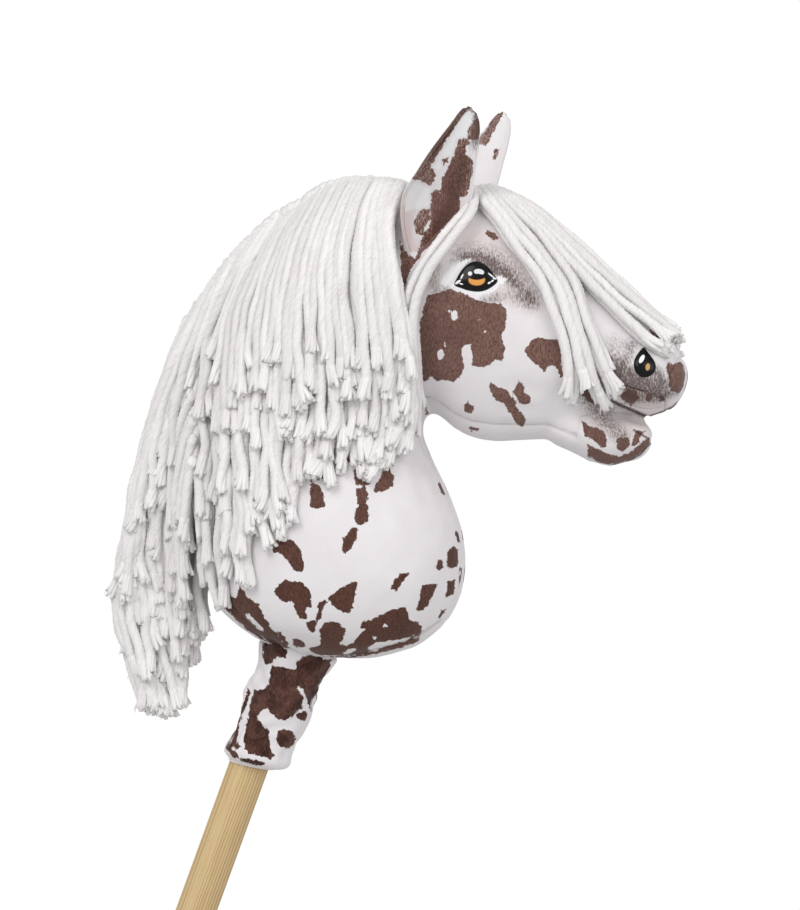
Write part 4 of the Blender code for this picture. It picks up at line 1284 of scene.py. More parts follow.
def make_cuff(settings):
    """A sleeve of plush with soft folds and a rolled, gathered hem."""
    tree = node_tree_of("cuff")
    angles = np.arange(CUFF_COLUMNS) * 2 * math.pi / CUFF_COLUMNS
    outer, inner, rows = [], [], []
    for rise in np.linspace(CUFF_LOW, CUFF_TOP, CUFF_ROWS):
        along = STICK_FREE + rise
        rounded = 1 - fade(rise, 0.0015, 0.006)
        roll = settings.hem * bell(rise - 0.007, 0.0055)
        roll -= 0.0034 * (1 - math.sqrt(1 - rounded**2))
        radius = np.array([cuff_radius(tree, along, angle) for angle in angles])
        radius += folds(angles, rise) * MM + roll
        rows.append(radius)
        tilt = HEM_TILT * max(0, 1 - rise / 0.02) * np.cos(angles)
        outer.append(ring_of(along + tilt, radius, angles))
        inside = np.maximum(radius - CUFF_CLOTH, CUFF_INSIDE)
        inner.append(ring_of(along + INSIDE_RISE, BAND_RADIUS if rise < BAND_TOP else inside,
                             angles))
    # The hem turns in and up round the stick, and the inside carries on to the top
    lips = []
    for up, inward in HEM_LIPS:
        along = STICK_FREE + CUFF_LOW + up * MM + 0.002 * np.cos(angles)
        lips.append(ring_of(along, np.maximum(rows[0] - inward * MM, BAND_RADIUS), angles))
    rings = np.array(outer[::-1] + lips + inner)
    away, along = axis_distance(rings.reshape(-1, 3))
    profile = zip(*(part.reshape(len(rings), -1).mean(1).tolist() for part in (along, away)))
    cuff = drawn_sleeve("cuff_plush", list(profile), CUFF_COLUMNS)
    drawn = points_of(cuff.data)
    row = np.arange(len(drawn)) // CUFF_COLUMNS
    move_points(cuff.data, rings[row, columns_of(axis_angle(drawn), CUFF_COLUMNS)])
    face_outwards(cuff)
    subdivide(cuff)
    add_pile(cuff, settings)
    paint_patches(cuff.data, CUFF_PATCH_PIXELS)
    # Lighter hairs streak all over its brown: painted sheen of the velour pile
    store(cuff.data, deep=1.0, brushed=0.16)
    coat_settings = settings.id_data.hobby_coat
    cuff.data.materials.append(plush_material("cuff_plush", coat_settings, 0.9))
    cuff.data.shade_smooth()
    fit_on_body(cuff, "head", "brown_plush", "cuff")
    return cuff


def add_pile(cuff, settings):
    """Short hairs that stand out where the hem is worn, at the back of the stick."""
    dice = random.Random(17)
    points, faces = [], []
    for _ in range(settings.hairs):
        angle = dice.gauss(math.radians(205), math.radians(45))
        rise = abs(dice.gauss(0, 0.005))
        radius = 0.0195 + 0.0012 * math.exp(-((rise - 0.007) / 0.006) ** 2)
        out = Vector(ring_of(0, 1, [angle])[0])
        foot = STICK_DIRECTION * (STICK_FREE + MM + rise) + STICK_ACROSS * 0.0027 + out * radius
        lie = (out * dice.uniform(0.2, 0.8) - STICK_DIRECTION * dice.uniform(0.4, 1.4)
               + SIDEWAYS * dice.uniform(-0.5, 0.5)).normalized()
        length = dice.uniform(0.8, 1.8) * MM
        side = lie.cross(out).normalized() * (0.18 * MM)
        up = lie.cross(side).normalized() * (0.18 * MM)
        start = len(points)
        points += [foot + side, foot - side * 0.5 + up, foot - side * 0.5 - up,
                   foot + lie * length]
        faces += [(start, start + 1, start + 3), (start + 1, start + 2, start + 3),
                  (start + 2, start, start + 3), (start, start + 2, start + 1)]
    mesh = bpy.data.meshes.new("hem_hairs")
    mesh.from_pydata([tuple(point) for point in points], [], faces)
    hairs = link("hem_hairs", mesh)
    choose(cuff)
    hairs.select_set(True)
    bpy.ops.object.join()


def woven_sleeve(name, node, profile, columns, material):
    """A drawn sleeve of the head with a UV map for its weave."""
    sleeve = drawn_sleeve(name, profile, columns)
    points = points_of(sleeve.data)
    along, angles = axis_distance(points)[1], axis_angle(points)
    weave = sleeve.data.uv_layers.new(name="weave")
    for face in sleeve.data.polygons:
        first = angles[face.vertices[0]]
        for index, corner in zip(face.loop_indices, face.vertices):
            turn = first + math.remainder(angles[corner] - first, 2 * math.pi)
            weave.data[index].uv = (turn * BORE_RADIUS, along[corner])
    sleeve.data.materials.append(material)
    fit_on_body(sleeve, "head", "cotton", node)


def make_pocket():
    """The woven pocket that the stick stands in, sewn shut at its top."""
    low = STICK_FREE + 60 * MM
    high = STICK_LENGTH + 0.6 * MM
    steps = np.linspace(low, high, 25).tolist()
    outside = [(a, 0.0143 + 0.0001 * math.sin(i * 2.1)) for i, a in enumerate(steps)]
    top = [(high + 1.2 * MM, 12 * MM), (high + 1.5 * MM, 2 * MM)]
    inside_top = [(high, 2 * MM), (high - 0.2 * MM, BORE_RADIUS)]
    inside = [(a, BORE_RADIUS) for a in reversed(steps[:-1])]
    woven_sleeve("stick_pocket_cotton", "stick_pocket", outside + top + inside_top + inside, 64,
                 woven_material("pocket_cotton", (222, 216, 203), 0.0006))


def make_elastic():
    """The ribbed elastic in the hem."""
    low, high = STICK_FREE + 4.3 * MM, STICK_FREE + 10.3 * MM
    steps = np.linspace(low, high, 13).tolist()
    outside = [(along, 0.0138 + 0.0002 * (i % 2)) for i, along in enumerate(steps)]
    woven_sleeve("cuff_elastic_band", "cuff_elastic",
                 outside + [(high, BORE_RADIUS), (low, BORE_RADIUS)], 72,
                 woven_material("elastic", (228, 226, 220), 0.0005))


# Eyes and nostrils

PAD_RINGS = 10
PAD_COLUMNS = 72
PAD_SUNK = 0.2 * MM  # the pad's rim lies this far in the plush
PAD_BACK = 1.1 * MM  # and its back this far
PAD_TAPER = 0.97
# Painted spots: colour's name, centre, radii, turn in degrees, and what is cut off them
EYE_SPOTS = [
    ("paint", (462.3, 277.0), (2.9, 0.8), -62, None),
    ("paint", (458.2, 282.4), (3.4, 1.3), -32, None),
    ("paint", (461.6, 284.2), (2.0, 0.7), 15, None),
    ("paint", (491.2, 276.0), (4.0, 0.7), 36, None),
    ("paint", (494.8, 278.9), (1.9, 0.9), 0, None),
    ("paint", (489.2, 283.3), (1.6, 0.9), -30, None),
    ("paint", (492.3, 281.4), (1.7, 0.8), -38, None),
    ("amber", (477.0, 280.6), (8.0, 5.3), 0, (477.0, 275.6, 9.4, 4.9)),
    ("light", (470.4, 274.3), (2.1, 2.1), 0, None),
    ("light", (479.2, 272.7), (5.0, 2.9), 8, (477.6, 277.2, 6.2, 2.7)),
]
# The nostril's white spot, in the paint's colour, is a painted highlight
NOSTRIL_SPOTS = [
    ("paint", (641.3, 360.0), (4.4, 2.1), -62, None),
    ("tan", (647.2, 367.7), (2.2, 3.3), 10, None),
]


def lengths_along(route):
    return np.concatenate([[0], np.cumsum(np.linalg.norm(np.diff(route, axis=0), axis=1))])


def even_steps(line, count, closed=False):
    """Even places along a dense line."""
    lengths = lengths_along(line)
    targets = np.linspace(0, lengths[-1], count, endpoint=not closed)
    return np.stack([np.interp(targets, lengths, column) for column in line.T], 1)


def outline_spline(outline, count):
    """Even places on a smooth closed curve through an outline."""
    corners = np.array(outline, float)
    dense = []
    for index in range(len(corners)):
        four = np.roll(corners, 1 - index, 0)[:4]
        dense += [catmull(*four, step / 8) for step in range(8)]
    return even_steps(np.array(dense + [dense[0]]), count, closed=True)


def catmull(before, here, after, later, share):
    """A place on the smooth curve between two of four points."""
    square, cube = share * share, share**3
    return 0.5 * (
        2 * here
        + (after - before) * share
        + (2 * before - 5 * here + 4 * after - later) * square
        + (3 * here - before - 3 * after + later) * cube
    )


def drawn_disc(name):
    """A disc of radius 1: a circle drawn inwards ring by ring, and down to a flat back."""
    deselect()
    bpy.ops.mesh.primitive_circle_add(vertices=PAD_COLUMNS, radius=1)
    disc = added(name)
    edit(disc)
    for ring in range(PAD_RINGS, 1, -1):
        bpy.ops.mesh.extrude_region_move()
        bpy.ops.transform.resize(value=((ring - 1) / ring,) * 3, center_override=(0, 0, 0))
    bpy.ops.mesh.extrude_region_move()
    bpy.ops.mesh.merge(type="CENTER")
    bpy.ops.mesh.select_all(action="DESELECT")
    bpy.ops.mesh.select_non_manifold()
    bpy.ops.mesh.extrude_region_move(TRANSFORM_OT_translate={"value": (0, 0, -1)})
    bpy.ops.mesh.edge_face_add()
    bpy.ops.object.mode_set(mode="OBJECT")
    return disc


def make_pad(name, node, outline, side, tree, height, material, middle):
    """A domed glossy pad on the coat, from its outline in the photograph."""
    rim = outline_spline(outline, PAD_COLUMNS)
    pad = drawn_disc(name)
    flat = points_of(pad.data)
    share = np.round(np.hypot(flat[:, 0], flat[:, 1]), 3)
    back = flat[:, 2] < -0.5
    column = columns_of(np.arctan2(flat[:, 1], flat[:, 0]), PAD_COLUMNS)
    spots = middle + (rim[column] - middle) * share[:, None]
    aims = middle + (spots - middle) * np.where(back, PAD_TAPER, 1)[:, None]
    raised = height * (1 - share**2.6) ** 0.5 - PAD_SUNK * (share == 1)
    raised = np.where(back, -PAD_BACK, raised)
    points = []
    for aim, rise in zip(aims, raised):
        hit, normal = tree.ray_cast(*pixel_ray(*aim, side))[:2]
        points.append(hit + normal * rise)
    move_points(pad.data, points)
    face_outwards(pad)
    face = pad.data.uv_layers.new(name="face")
    for loop in pad.data.loops:
        face.data[loop.index].uv = spots[loop.vertex_index]
    pad.data.materials.append(material)
    fit_on_body(pad, "head", "gloss_black", node)


def make_face(tree, settings):
    eye = gloss_material("eye_gloss", settings, EYE_SPOTS)
    nostril = gloss_material("nostril_gloss", settings, NOSTRIL_SPOTS)
    for word, side in SIDES:
        make_pad(f"eye_{word}_gloss", f"eye_{word}", EYE_PIXELS, side, tree,
                 settings.eye_height, eye, np.array((476, 277.5)))
        make_pad(f"nostril_{word}_gloss", f"nostril_{word}", NOSTRIL_PIXELS, side, tree,
                 settings.nostril_height, nostril, np.array((645.5, 364.5)))


# The ears

EAR_LENGTH = 99.4
# Share of the length, half width, depth of the cup, shift towards the muzzle
EAR_SECTIONS = [
    (0.000, 3.5, 2.0, -1.5),
    (0.050, 7.5, 5.5, -3.6),
    (0.100, 11.2, 8.5, -5.0),
    (0.200, 16.3, 12.0, -4.4),
    (0.300, 19.8, 13.2, -2.0),
    (0.400, 20.8, 12.4, 0.4),
    (0.500, 19.2, 10.6, 1.6),
    (0.600, 17.0, 8.8, 1.7),
    (0.700, 14.4, 7.0, 1.9),
    (0.800, 11.7, 5.3, 2.4),
    (0.885, 9.0, 3.6, 2.5),
    (0.940, 6.9, 2.4, 2.0),
    (0.980, 4.3, 1.3, 1.3),
    (1.000, 1.3, 0.6, 0.7),
]
EAR_BASE = {RIGHT: (114.5, -49.0, 316.6), LEFT: (111.7, 49.0, 326.1)}  # the left is higher
EAR_LEAN = {RIGHT: (0.351, -0.05, 0.936), LEFT: (0.435, 0.05, 0.897)}  # and further forward
EAR_OPENING = (0.42, -0.90, -0.1)
EAR_CLOTH = 1.9
EAR_LINING = 1.2
EAR_ROWS = 60
EAR_COLUMNS = 44
EAR_BACK_RIM = 3.4  # the outer cloth shows this wide behind the lining
EAR_FRONT_RIM = 0.8
EAR_LINING_EDGE = 0.5  # the lining's face is this much narrower than its back


def ear_axes(side):
    """Base, direction to the tip, towards the muzzle across it, and the cup's opening."""
    x, y, z = EAR_BASE[side]
    lean = Vector(EAR_LEAN[side]).normalized()
    opening = Vector((EAR_OPENING[0], EAR_OPENING[1] * -side, EAR_OPENING[2]))
    opening = (opening - lean * opening.dot(lean)).normalized()
    return place(x, z, y), lean, lean.cross(opening).normalized() * -side, opening


def ear_section(share):
    """Half width, depth and shift of the cup, smooth between the table's rows."""
    table = np.array(EAR_SECTIONS)
    index = int(np.clip(np.searchsorted(table[:, 0], share) - 1, 0, len(table) - 2))
    low, high = table[index], table[index + 1]
    inner = (share - low[0]) / (high[0] - low[0])
    if index == len(table) - 2:
        return low + (high - low) * (1 - (1 - inner) ** 2) ** 0.5
    row = catmull(table[max(index - 1, 0)], low, high, table[index + 2], inner)
    return np.maximum(row, 0.0)


def ear_surface(side, lift, back_trim=0.0, front_trim=0.0):
    """A grid over the ear's cup, moved along its opening by lift, trimmed at its rims."""
    base, lean, across, opening = ear_axes(side)
    grid = []
    for row in range(EAR_ROWS):
        share = 1 - (1 - row / (EAR_ROWS - 1)) ** 1.7
        along = share * (EAR_LENGTH - (back_trim + front_trim) / 2)
        _, half, depth, shift = ear_section(along / EAR_LENGTH)
        low = -max(half - back_trim, 0.4)
        high = max(half - front_trim, 0.4)
        line = []
        for column in range(EAR_COLUMNS):
            turn = column / (EAR_COLUMNS - 1) * math.pi
            width = (low + high) / 2 - (high - low) / 2 * math.cos(turn)
            flat = min(abs(width) / max(half, 0.5), 1)
            cup = depth * (1 - flat**2.2)
            curl = 1.1 * bell(1 - flat, 0.12)
            crease = 0.8 * bell(width + half * 0.35, 2.5) * (1 - share)
            line.append(base + lean * (along * MM) + across * ((width + shift) * MM)
                        - opening * ((cup - curl + crease - lift) * MM))
        grid.append(line)
    return grid


def drawn_shell(name, inner, outer):
    """A sheet with a wall: a grid drawn out once and laid between two grids of places."""
    places = np.array([inner, outer])
    deselect()
    bpy.ops.mesh.primitive_grid_add(
        x_subdivisions=EAR_COLUMNS - 1, y_subdivisions=EAR_ROWS - 1, size=1)
    shell = added(name)
    edit(shell)
    bpy.ops.mesh.extrude_region_move(TRANSFORM_OT_translate={"value": (0, 0, 1)})
    bpy.ops.object.mode_set(mode="OBJECT")
    across, down, layer = (points_of(shell.data) + (0.5, 0.5, 0)).T
    column = np.rint(across * (EAR_COLUMNS - 1)).astype(int)
    row = np.rint(down * (EAR_ROWS - 1)).astype(int)
    move_points(shell.data, places[np.rint(layer).astype(int), row, column])
    face_outwards(shell)
    return shell


def paint_ear(mesh, side):
    across, down = pixels_of(points_of(mesh))
    seen = side == RIGHT
    patch = depth_in(across, down, EAR_PATCH_PIXELS if seen else FAR_EAR_PATCH_PIXELS)
    paint = depth_in(across, down, EAR_PAINT_PIXELS if seen else ())
    store(mesh, patch=patch * PIXEL / MM)
    store(mesh, paint=np.where(patch > -1.5, -FAR_OUT, paint * PIXEL / MM))
    # The cup's hollow gets painted shade from the shade strokes and from deep
    store(mesh, shade=strokes(across, down, EAR_SHADE_STROKES) * seen)
    store(mesh, blush=strokes(across, down, EAR_BLUSH_STROKES) * seen)
    store(mesh, deep=strokes(across, down, EAR_HOLLOW_STROKES) * seen)
    store(mesh, ink=line_distance(across, down, EAR_INK_LINES[side]) / 0.8)
    store(mesh, seam=FAR_OUT, brushed=fade(across, 452, 10) + (across < 432))


def make_ears(settings):
    plush = plush_material("ear_plush", settings)
    rims = np.array((EAR_BACK_RIM, EAR_FRONT_RIM))
    for word, side in SIDES:
        shell = drawn_shell(f"ear_{word}_plush", ear_surface(side, -EAR_CLOTH),
                            ear_surface(side, 0.0))
        lining = drawn_shell(f"ear_{word}_lining_plush", ear_surface(side, 0.1, *rims),
                             ear_surface(side, EAR_LINING, *(rims + EAR_LINING_EDGE)))
        for piece, node, slot in ((shell, "outer", "plush"), (lining, "lining", "lining")):
            subdivide(piece)
            paint_ear(piece.data, side)
            piece.data.materials.append(plush)
            piece.data.shade_smooth()
            fit_on_body(piece, "head", slot, f"ear_{word}_{node}")


# The yarn

YARN_SIDES = 12
YARN_PLIES = 4
YARN_STEP = 3.0 * MM
BRUSH = 11 * MM  # length of a strand's frayed end
BRUSH_PLIES = 8
LOOSE_HAIRS = 7
WIND_UNIT = 0.02  # the yarn's UV map counts its length in these


def resampled(points, count):
    """A smooth curve through points, in even steps."""
    corners = np.array(points, float)
    padded = np.vstack([2 * corners[0] - corners[1], corners, 2 * corners[-1] - corners[-2]])
    dense = []
    for index in range(1, len(padded) - 2):
        for part in range(6):
            dense.append(catmull(*padded[index - 1:index + 3], part / 6))
    dense = np.array(dense + [corners[-1]])
    return even_steps(dense, count)


def smooth_route(points, step):
    total = lengths_along(np.array(points, float))[-1]
    return resampled(points, max(int(total / step), 4) + 1)


def frames_along(route):
    """The direction of a route and two across it at each point, without twist."""
    forward = np.gradient(route, axis=0)
    forward /= np.linalg.norm(forward, axis=1, keepdims=True)
    first = np.cross(forward[0], (0.3, 0.9, 0.1))
    ones = [first / np.linalg.norm(first)]
    for index in range(1, len(route)):
        last = ones[-1] - forward[index] * (ones[-1] @ forward[index])
        ones.append(last / np.linalg.norm(last))
    ones = np.array(ones)
    return forward, ones, np.cross(forward, ones)


class Bundle:
    """Strands of yarn gathered into one mesh."""

    def __init__(self):
        self.points, self.faces, self.winds, self.tones = [], [], [], []
        self.count = 0

    def tube(self, route, one, two, reach, turn, tone, wind_from):
        """A closed tube: reach holds the radius of each side of each ring."""
        rows, sides = reach.shape
        angles = turn[:, None] + np.arange(sides)[None, :] * 2 * math.pi / sides
        rings = (
            route[:, None, :]
            + one[:, None, :] * (np.cos(angles) * reach)[..., None]
            + two[:, None, :] * (np.sin(angles) * reach)[..., None]
        )
        points = np.vstack([rings.reshape(-1, 3), route[0], route[-1]])
        root, tip = rows * sides, rows * sides + 1
        row, side = np.meshgrid(np.arange(rows - 1), np.arange(sides), indexing="ij")
        row, side = row.ravel(), side.ravel()
        after = (side + 1) % sides
        low, high = row * sides, (row + 1) * sides
        walls = np.stack([low + side, low + after, high + after, high + side], 1)
        side_u = side / sides
        length = wind_from + lengths_along(route) / WIND_UNIT
        wall_u = np.stack([side_u, side_u + 1 / sides, side_u + 1 / sides, side_u], 1)
        wall_v = np.stack([length[row], length[row], length[row + 1], length[row + 1]], 1)
        ends = np.arange(sides)
        next_ends = (ends + 1) % sides
        last = (rows - 1) * sides
        roots = np.stack([next_ends, ends, np.full(sides, root), np.full(sides, root)], 1)
        tips = np.stack([last + ends, last + next_ends, np.full(sides, tip),
                         np.full(sides, tip)], 1)
        end_u = np.tile((ends / sides)[:, None], (1, 4))
        faces = np.vstack([walls, roots, tips]) + self.count
        across = np.vstack([wall_u, end_u, end_u])
        along = np.vstack([wall_v, np.full((sides, 4), length[0]),
                           np.full((sides, 4), length[-1])])
        self.points.append(points)
        self.faces.append(faces)
        self.winds.append(np.stack([across, along], 2))
        self.tones.append(np.full(len(points), tone))
        self.count += len(points)

    def strand(self, points, settings, dice):
        """A softly lobed, twisted strand with a brush at its cut end."""
        route = smooth_route(points, YARN_STEP)
        forward, one, two = frames_along(route)
        length = lengths_along(route)
        radius = settings.radius * dice.uniform(0.92, 1.08)
        size = 1 + 0.03 * np.sin(length / 0.017 + dice.uniform(0, 6.3))
        size += 0.02 * np.sin(length / 0.0071 + dice.uniform(0, 6.3))
        size *= np.clip(length / 0.005 + 0.5, 0, 1)
        end = np.clip((length - (length[-1] - BRUSH)) / BRUSH, 0, 1)
        size *= 1 - 0.4 * end**1.5
        turn = 2 * math.pi * length / settings.pitch + dice.uniform(0, 6.3)
        sides = np.arange(YARN_SIDES) * 2 * math.pi / YARN_SIDES
        lobes = 1 + settings.lobe * np.cos(YARN_PLIES * sides)
        reach = radius * size[:, None] * lobes[None, :]
        tone = dice.uniform(0, 1)
        self.tube(route, one, two, reach, turn, tone, dice.uniform(0, 40))
        # The cut end takes a lighter tone of the yarn: painted light against the shade among its
        # plies
        self.brush(route, forward, one, two, radius, dice, min(1.0, tone + 0.2))

    def brush(self, route, forward, one, two, radius, dice, tone):
        """The plies of a strand's cut end, blunt and a little spread, and loose hairs."""
        back = min(int(BRUSH / YARN_STEP) + 1, len(route) - 2)
        start = slice(-1 - back, None)
        spread = dice.uniform(0.2, 0.95)
        winding = dice.uniform(0.4, 1.4)
        for ply in range(BRUSH_PLIES):
            more = dice.uniform(-1.0, 3.0) * MM
            stem = np.vstack([route[start], route[-1] + forward[-1] * more])
            share = np.linspace(0, 1, len(stem))
            out = radius * (0.52 + spread * dice.uniform(0.4, 1.0) * share**1.4)
            turn = 2 * math.pi * ply / BRUSH_PLIES + dice.uniform(-0.25, 0.25)
            turn = turn + winding * share
            first, second = np.vstack([one[start], one[-1]]), np.vstack([two[start], two[-1]])
            lateral = first * np.cos(turn)[:, None] + second * np.sin(turn)[:, None]
            bend = one[-1] * dice.uniform(-1, 1) + two[-1] * dice.uniform(-1, 1)
            stem = stem + lateral * out[:, None] + bend * (0.6 * MM * share**2)[:, None]
            thick = radius * (0.48 - 0.05 * share)
            reach = np.tile(thick[:, None], (1, 6))
            reach[-1] *= 0.8
            self.tube(stem, first, second, reach, np.zeros(len(stem)), tone,
                      dice.uniform(0, 40))
        for _ in range(LOOSE_HAIRS):
            angle = dice.uniform(0, 2 * math.pi)
            lateral = one[-1] * math.cos(angle) + two[-1] * math.sin(angle)
            foot = route[-2] + lateral * radius * dice.uniform(0.5, 1.0)
            lean = forward[-1] + lateral * dice.uniform(0.1, 0.9)
            lean /= np.linalg.norm(lean)
            reach = dice.uniform(3.0, 6.5) * MM
            stem = np.array([foot, foot + lean * reach * 0.6,
                             foot + lean * reach * 0.8 + forward[-1] * reach * 0.3])
            thick = np.array([0.25, 0.2, 0.08]) * MM
            _, first, second = frames_along(stem)
            self.tube(stem, first, second, np.tile(thick[:, None], (1, 3)), np.zeros(3),
                      tone, dice.uniform(0, 40))

    def make(self, name, material):
        faces = np.vstack(self.faces)
        single = faces[:, 2] == faces[:, 3]
        corners = [face[:3] if lone else face for face, lone in zip(faces.tolist(), single)]
        mesh = bpy.data.meshes.new(name)
        mesh.from_pydata(np.vstack(self.points).tolist(), [], corners)
        keep = np.ones((len(faces), 4), bool)
        keep[single, 3] = False
        winds = np.vstack(self.winds)[keep]
        layer = mesh.uv_layers.new(name="wind")
        layer.data.foreach_set("uv", winds.astype(np.float32).ravel())
        store(mesh, tone=np.concatenate(self.tones))
        mesh.materials.append(material)
        mesh.shade_smooth()
        return link(name, mesh)


LAYER_HEIGHTS = [3.4, 7.4, 11.4, 15.4]  # of the strands' middles over the coat, millimetres


class Hang:
    """The coat grown by the height of each layer of yarn, to lay strands on."""

    def __init__(self, coat, heights):
        points, normals = points_of(coat.data), normals_of(coat.data)
        self.trees = [tree_of(coat.data, points + normals * (h * MM)) for h in heights]

    def seen(self, layer, across, down, side):
        """The place on a layer that a pixel shows, or None beside it."""
        start, direction = pixel_ray(across, down, side)
        return self.trees[layer].ray_cast(start, direction)[0]


def at_depth(across, down, side, depth):
    """The place that a pixel shows at a distance to the side of the middle plane."""
    start, direction = pixel_ray(across, down, side)
    return start + direction * ((side * depth - start.y) / direction.y)


def smooth_values(values, rounds):
    values = np.array(values, float)
    for _ in range(rounds):
        values[1:-1] = values[1:-1] * 0.5 + (values[:-2] + values[2:]) * 0.25
    return values


def wander(dice, length):
    """A smooth random drift along a strand, about 1 at most."""
    waves = [(dice.uniform(110, 190), dice.uniform(0, 6.3), 0.6),
             (dice.uniform(42, 75), dice.uniform(0, 6.3), 0.4)]
    return sum(size * np.sin(length / wave * 2 * math.pi + phase) for wave, phase, size in waves)


def mane_route(hang, layer, where, drop, side, dice):
    """A strand's points: over the crest, across the mane's bulk and down."""
    index = min(int(where), len(MANE_PIXELS) - 2)
    between = where - index
    low, high = (resampled(MANE_PIXELS[i], 60) for i in (index, index + 1))
    line = low + (high - low) * between
    roots = np.array(MANE_ROOT_PIXELS, float)
    root = roots[index] + (roots[index + 1] - roots[index]) * between
    lengths = lengths_along(line)
    lift = (LAYER_HEIGHTS[layer] + 2.5) / (LAYER_HEIGHTS[-1] + 2.5)
    ease = np.clip(1 - lengths / (0.36 * lengths[-1]), 0, 1) ** 2
    line = line + (root - line[0]) * (ease * (1 - lift))[:, None]
    lowest = line[-1, 1]
    highest = max(HIGHEST_END, line[0, 1] * 0.7 + lowest * 0.3)
    end = highest + drop * (lowest - highest)
    last = int(np.argmax(line[:, 1] >= min(end, lowest - 1))) + 1
    line, lengths = line[:last], lengths[:last]
    forward = np.gradient(line, axis=0)
    forward /= np.linalg.norm(forward, axis=1, keepdims=True)
    over = np.column_stack([-forward[:, 1], forward[:, 0]])
    grow = 0.8 + 2.4 * np.clip((lengths - 50) / 200, 0, 1)
    flick = dice.gauss(0, 3.4) * np.clip((lengths - lengths[-1] + 38) / 38, 0, 1) ** 2
    line = line + over * (wander(dice, lengths) * grow + flick)[:, None]
    loose = 2.0 + 4.2 * layer + dice.uniform(0, 4)
    depths = []
    for step, (across, down) in enumerate(line):
        hit = hang.seen(layer, across, down, side)
        wanted = loose * min(lengths[step] / 60, 1) + 1.0
        if hit is not None:
            wanted = max(wanted, side * hit.y / MM)
        if step:
            drape = max(depths[-1] - (lengths[step] - lengths[step - 1]) * 0.065, wanted)
            wanted = drape
        depths.append(wanted)
    depths = smooth_values(depths, 4)
    depths += 0.8 * wander(dice, lengths) * np.clip(lengths / 70, 0, 1) ** 2
    route = [at_depth(x, y, side, depth * MM) for (x, y), depth in zip(line, depths)]
    # It starts on the other side of the crest, under the strands that hang there
    under = at_depth(line[0][0] + 1.5, line[0][1] + 8.0, side, -6 * MM)
    return [under, at_depth(line[0][0], line[0][1] + 1.5, side, -2 * MM)] + route[1:]


def mane_places(front, behind):
    """Even places of strands over the lines, the front ones closer together."""
    last = len(MANE_PIXELS) - 1
    places = [(i + 0.5) / front * MANE_FRONT_CELLS for i in range(front)]
    rest = last - MANE_FRONT_CELLS
    return places + [MANE_FRONT_CELLS + (i + 0.5) / behind * rest for i in range(behind)]


def make_mane(coat, settings, yarn):
    hang = Hang(coat, LAYER_HEIGHTS)
    for word, side in SIDES:
        dice = random.Random(settings.seed + side)
        bundles = [Bundle() for _ in MANE_PIECES]
        for layer, (front, behind, least, most) in enumerate(MANE_LAYERS):
            spacing = MANE_FRONT_CELLS / front
            for where in mane_places(front, behind):
                where += spacing * (dice.uniform(-0.42, 0.42) + 0.25 * (side == LEFT))
                where = min(max(where, 0.0), len(MANE_PIXELS) - 1.001)
                drop = dice.uniform(least, most)
                if 8.6 < where < MANE_FRONT_CELLS:
                    drop = min(1.0, drop + 0.25)
                if side == LEFT and (where < 3 or 5 < where < 7.5):
                    drop = min(drop, 0.45 if where < 3 else 0.86)
                route = mane_route(hang, layer, where, drop, side, dice)
                piece = next(i for i, (_, end) in enumerate(MANE_PIECES) if where < end)
                bundles[piece].strand(route, settings, dice)
        for number, pixels in enumerate(EAR_STRAND_PIXELS):
            if side == LEFT:
                pixels = pixels[:-3]
            layer = 0 if number in (2, 3) else 1 + number % 2
            lay_strand(bundles[0], hang, layer, pixels, side, settings, dice)
        for number, bundle in enumerate(bundles, start=1):
            piece = bundle.make(f"mane_{word}_{number}_yarn", yarn)
            fit_on_body(piece, "head", "yarn", f"mane_{word}_{number}")


def lay_strand(bundle, hang, layer, pixels, side, settings, dice):
    """A strand along its line in the photograph, laid on the coat or hung beside it."""
    line = resampled(pixels, 28)
    depths = [None if hit is None else side * hit.y
              for hit in (hang.seen(layer, x, y, side) for x, y in line)]
    known = [i for i, depth in enumerate(depths) if depth is not None]
    filled = np.interp(range(len(line)), known, [depths[i] for i in known])
    filled = smooth_values(filled, 2)
    # It comes out of the coat
    filled -= 0.008 * np.exp(-((lengths_along(line) / 11) ** 2))
    route = [at_depth(x, y, side, depth) for (x, y), depth in zip(line, filled)]
    bundle.strand(route, settings, dice)


def make_forelock(coat, settings, yarn):
    hang = Hang(coat, LAYER_HEIGHTS[:2])
    for word, side in SIDES:
        dice = random.Random(settings.seed + 40 + side)
        for key, lines in FORELOCK_PIXELS.items():
            bundle = Bundle()
            fan = [resampled(line, 24) for line in lines]
            ends = FORELOCK_ENDS[key]
            loose, cut = FORELOCK_LOOSE[key]
            for number, end in enumerate(ends):
                root = number * (len(fan) - 1) / (len(ends) - 1)
                grow = np.linspace(0, 1, len(fan[0]))
                shares = np.clip(root + (end - root) * grow, 0, 2)
                line = np.array([
                    fan[min(int(s), 1)][i] * (1 - s + min(int(s), 1))
                    + fan[min(int(s), 1) + 1][i] * (s - min(int(s), 1))
                    for i, s in enumerate(shares)
                ])
                sway = dice.uniform(-2.5, 2.5) + dice.uniform(-6, 6) * (side == LEFT)
                drift = wander(dice, lengths_along(line)) * loose * np.minimum(grow * 4, 1)
                line = line + np.outer(grow**1.5 * sway + drift, (0.8, -0.6))
                line = line[: len(line) - dice.randint(0, cut)]
                lay_strand(bundle, hang, number % 2, line, side, settings, dice)
            piece = bundle.make(f"{key}_{word}_yarn", yarn)
            fit_on_body(piece, "head", "yarn", f"{key}_{word}")


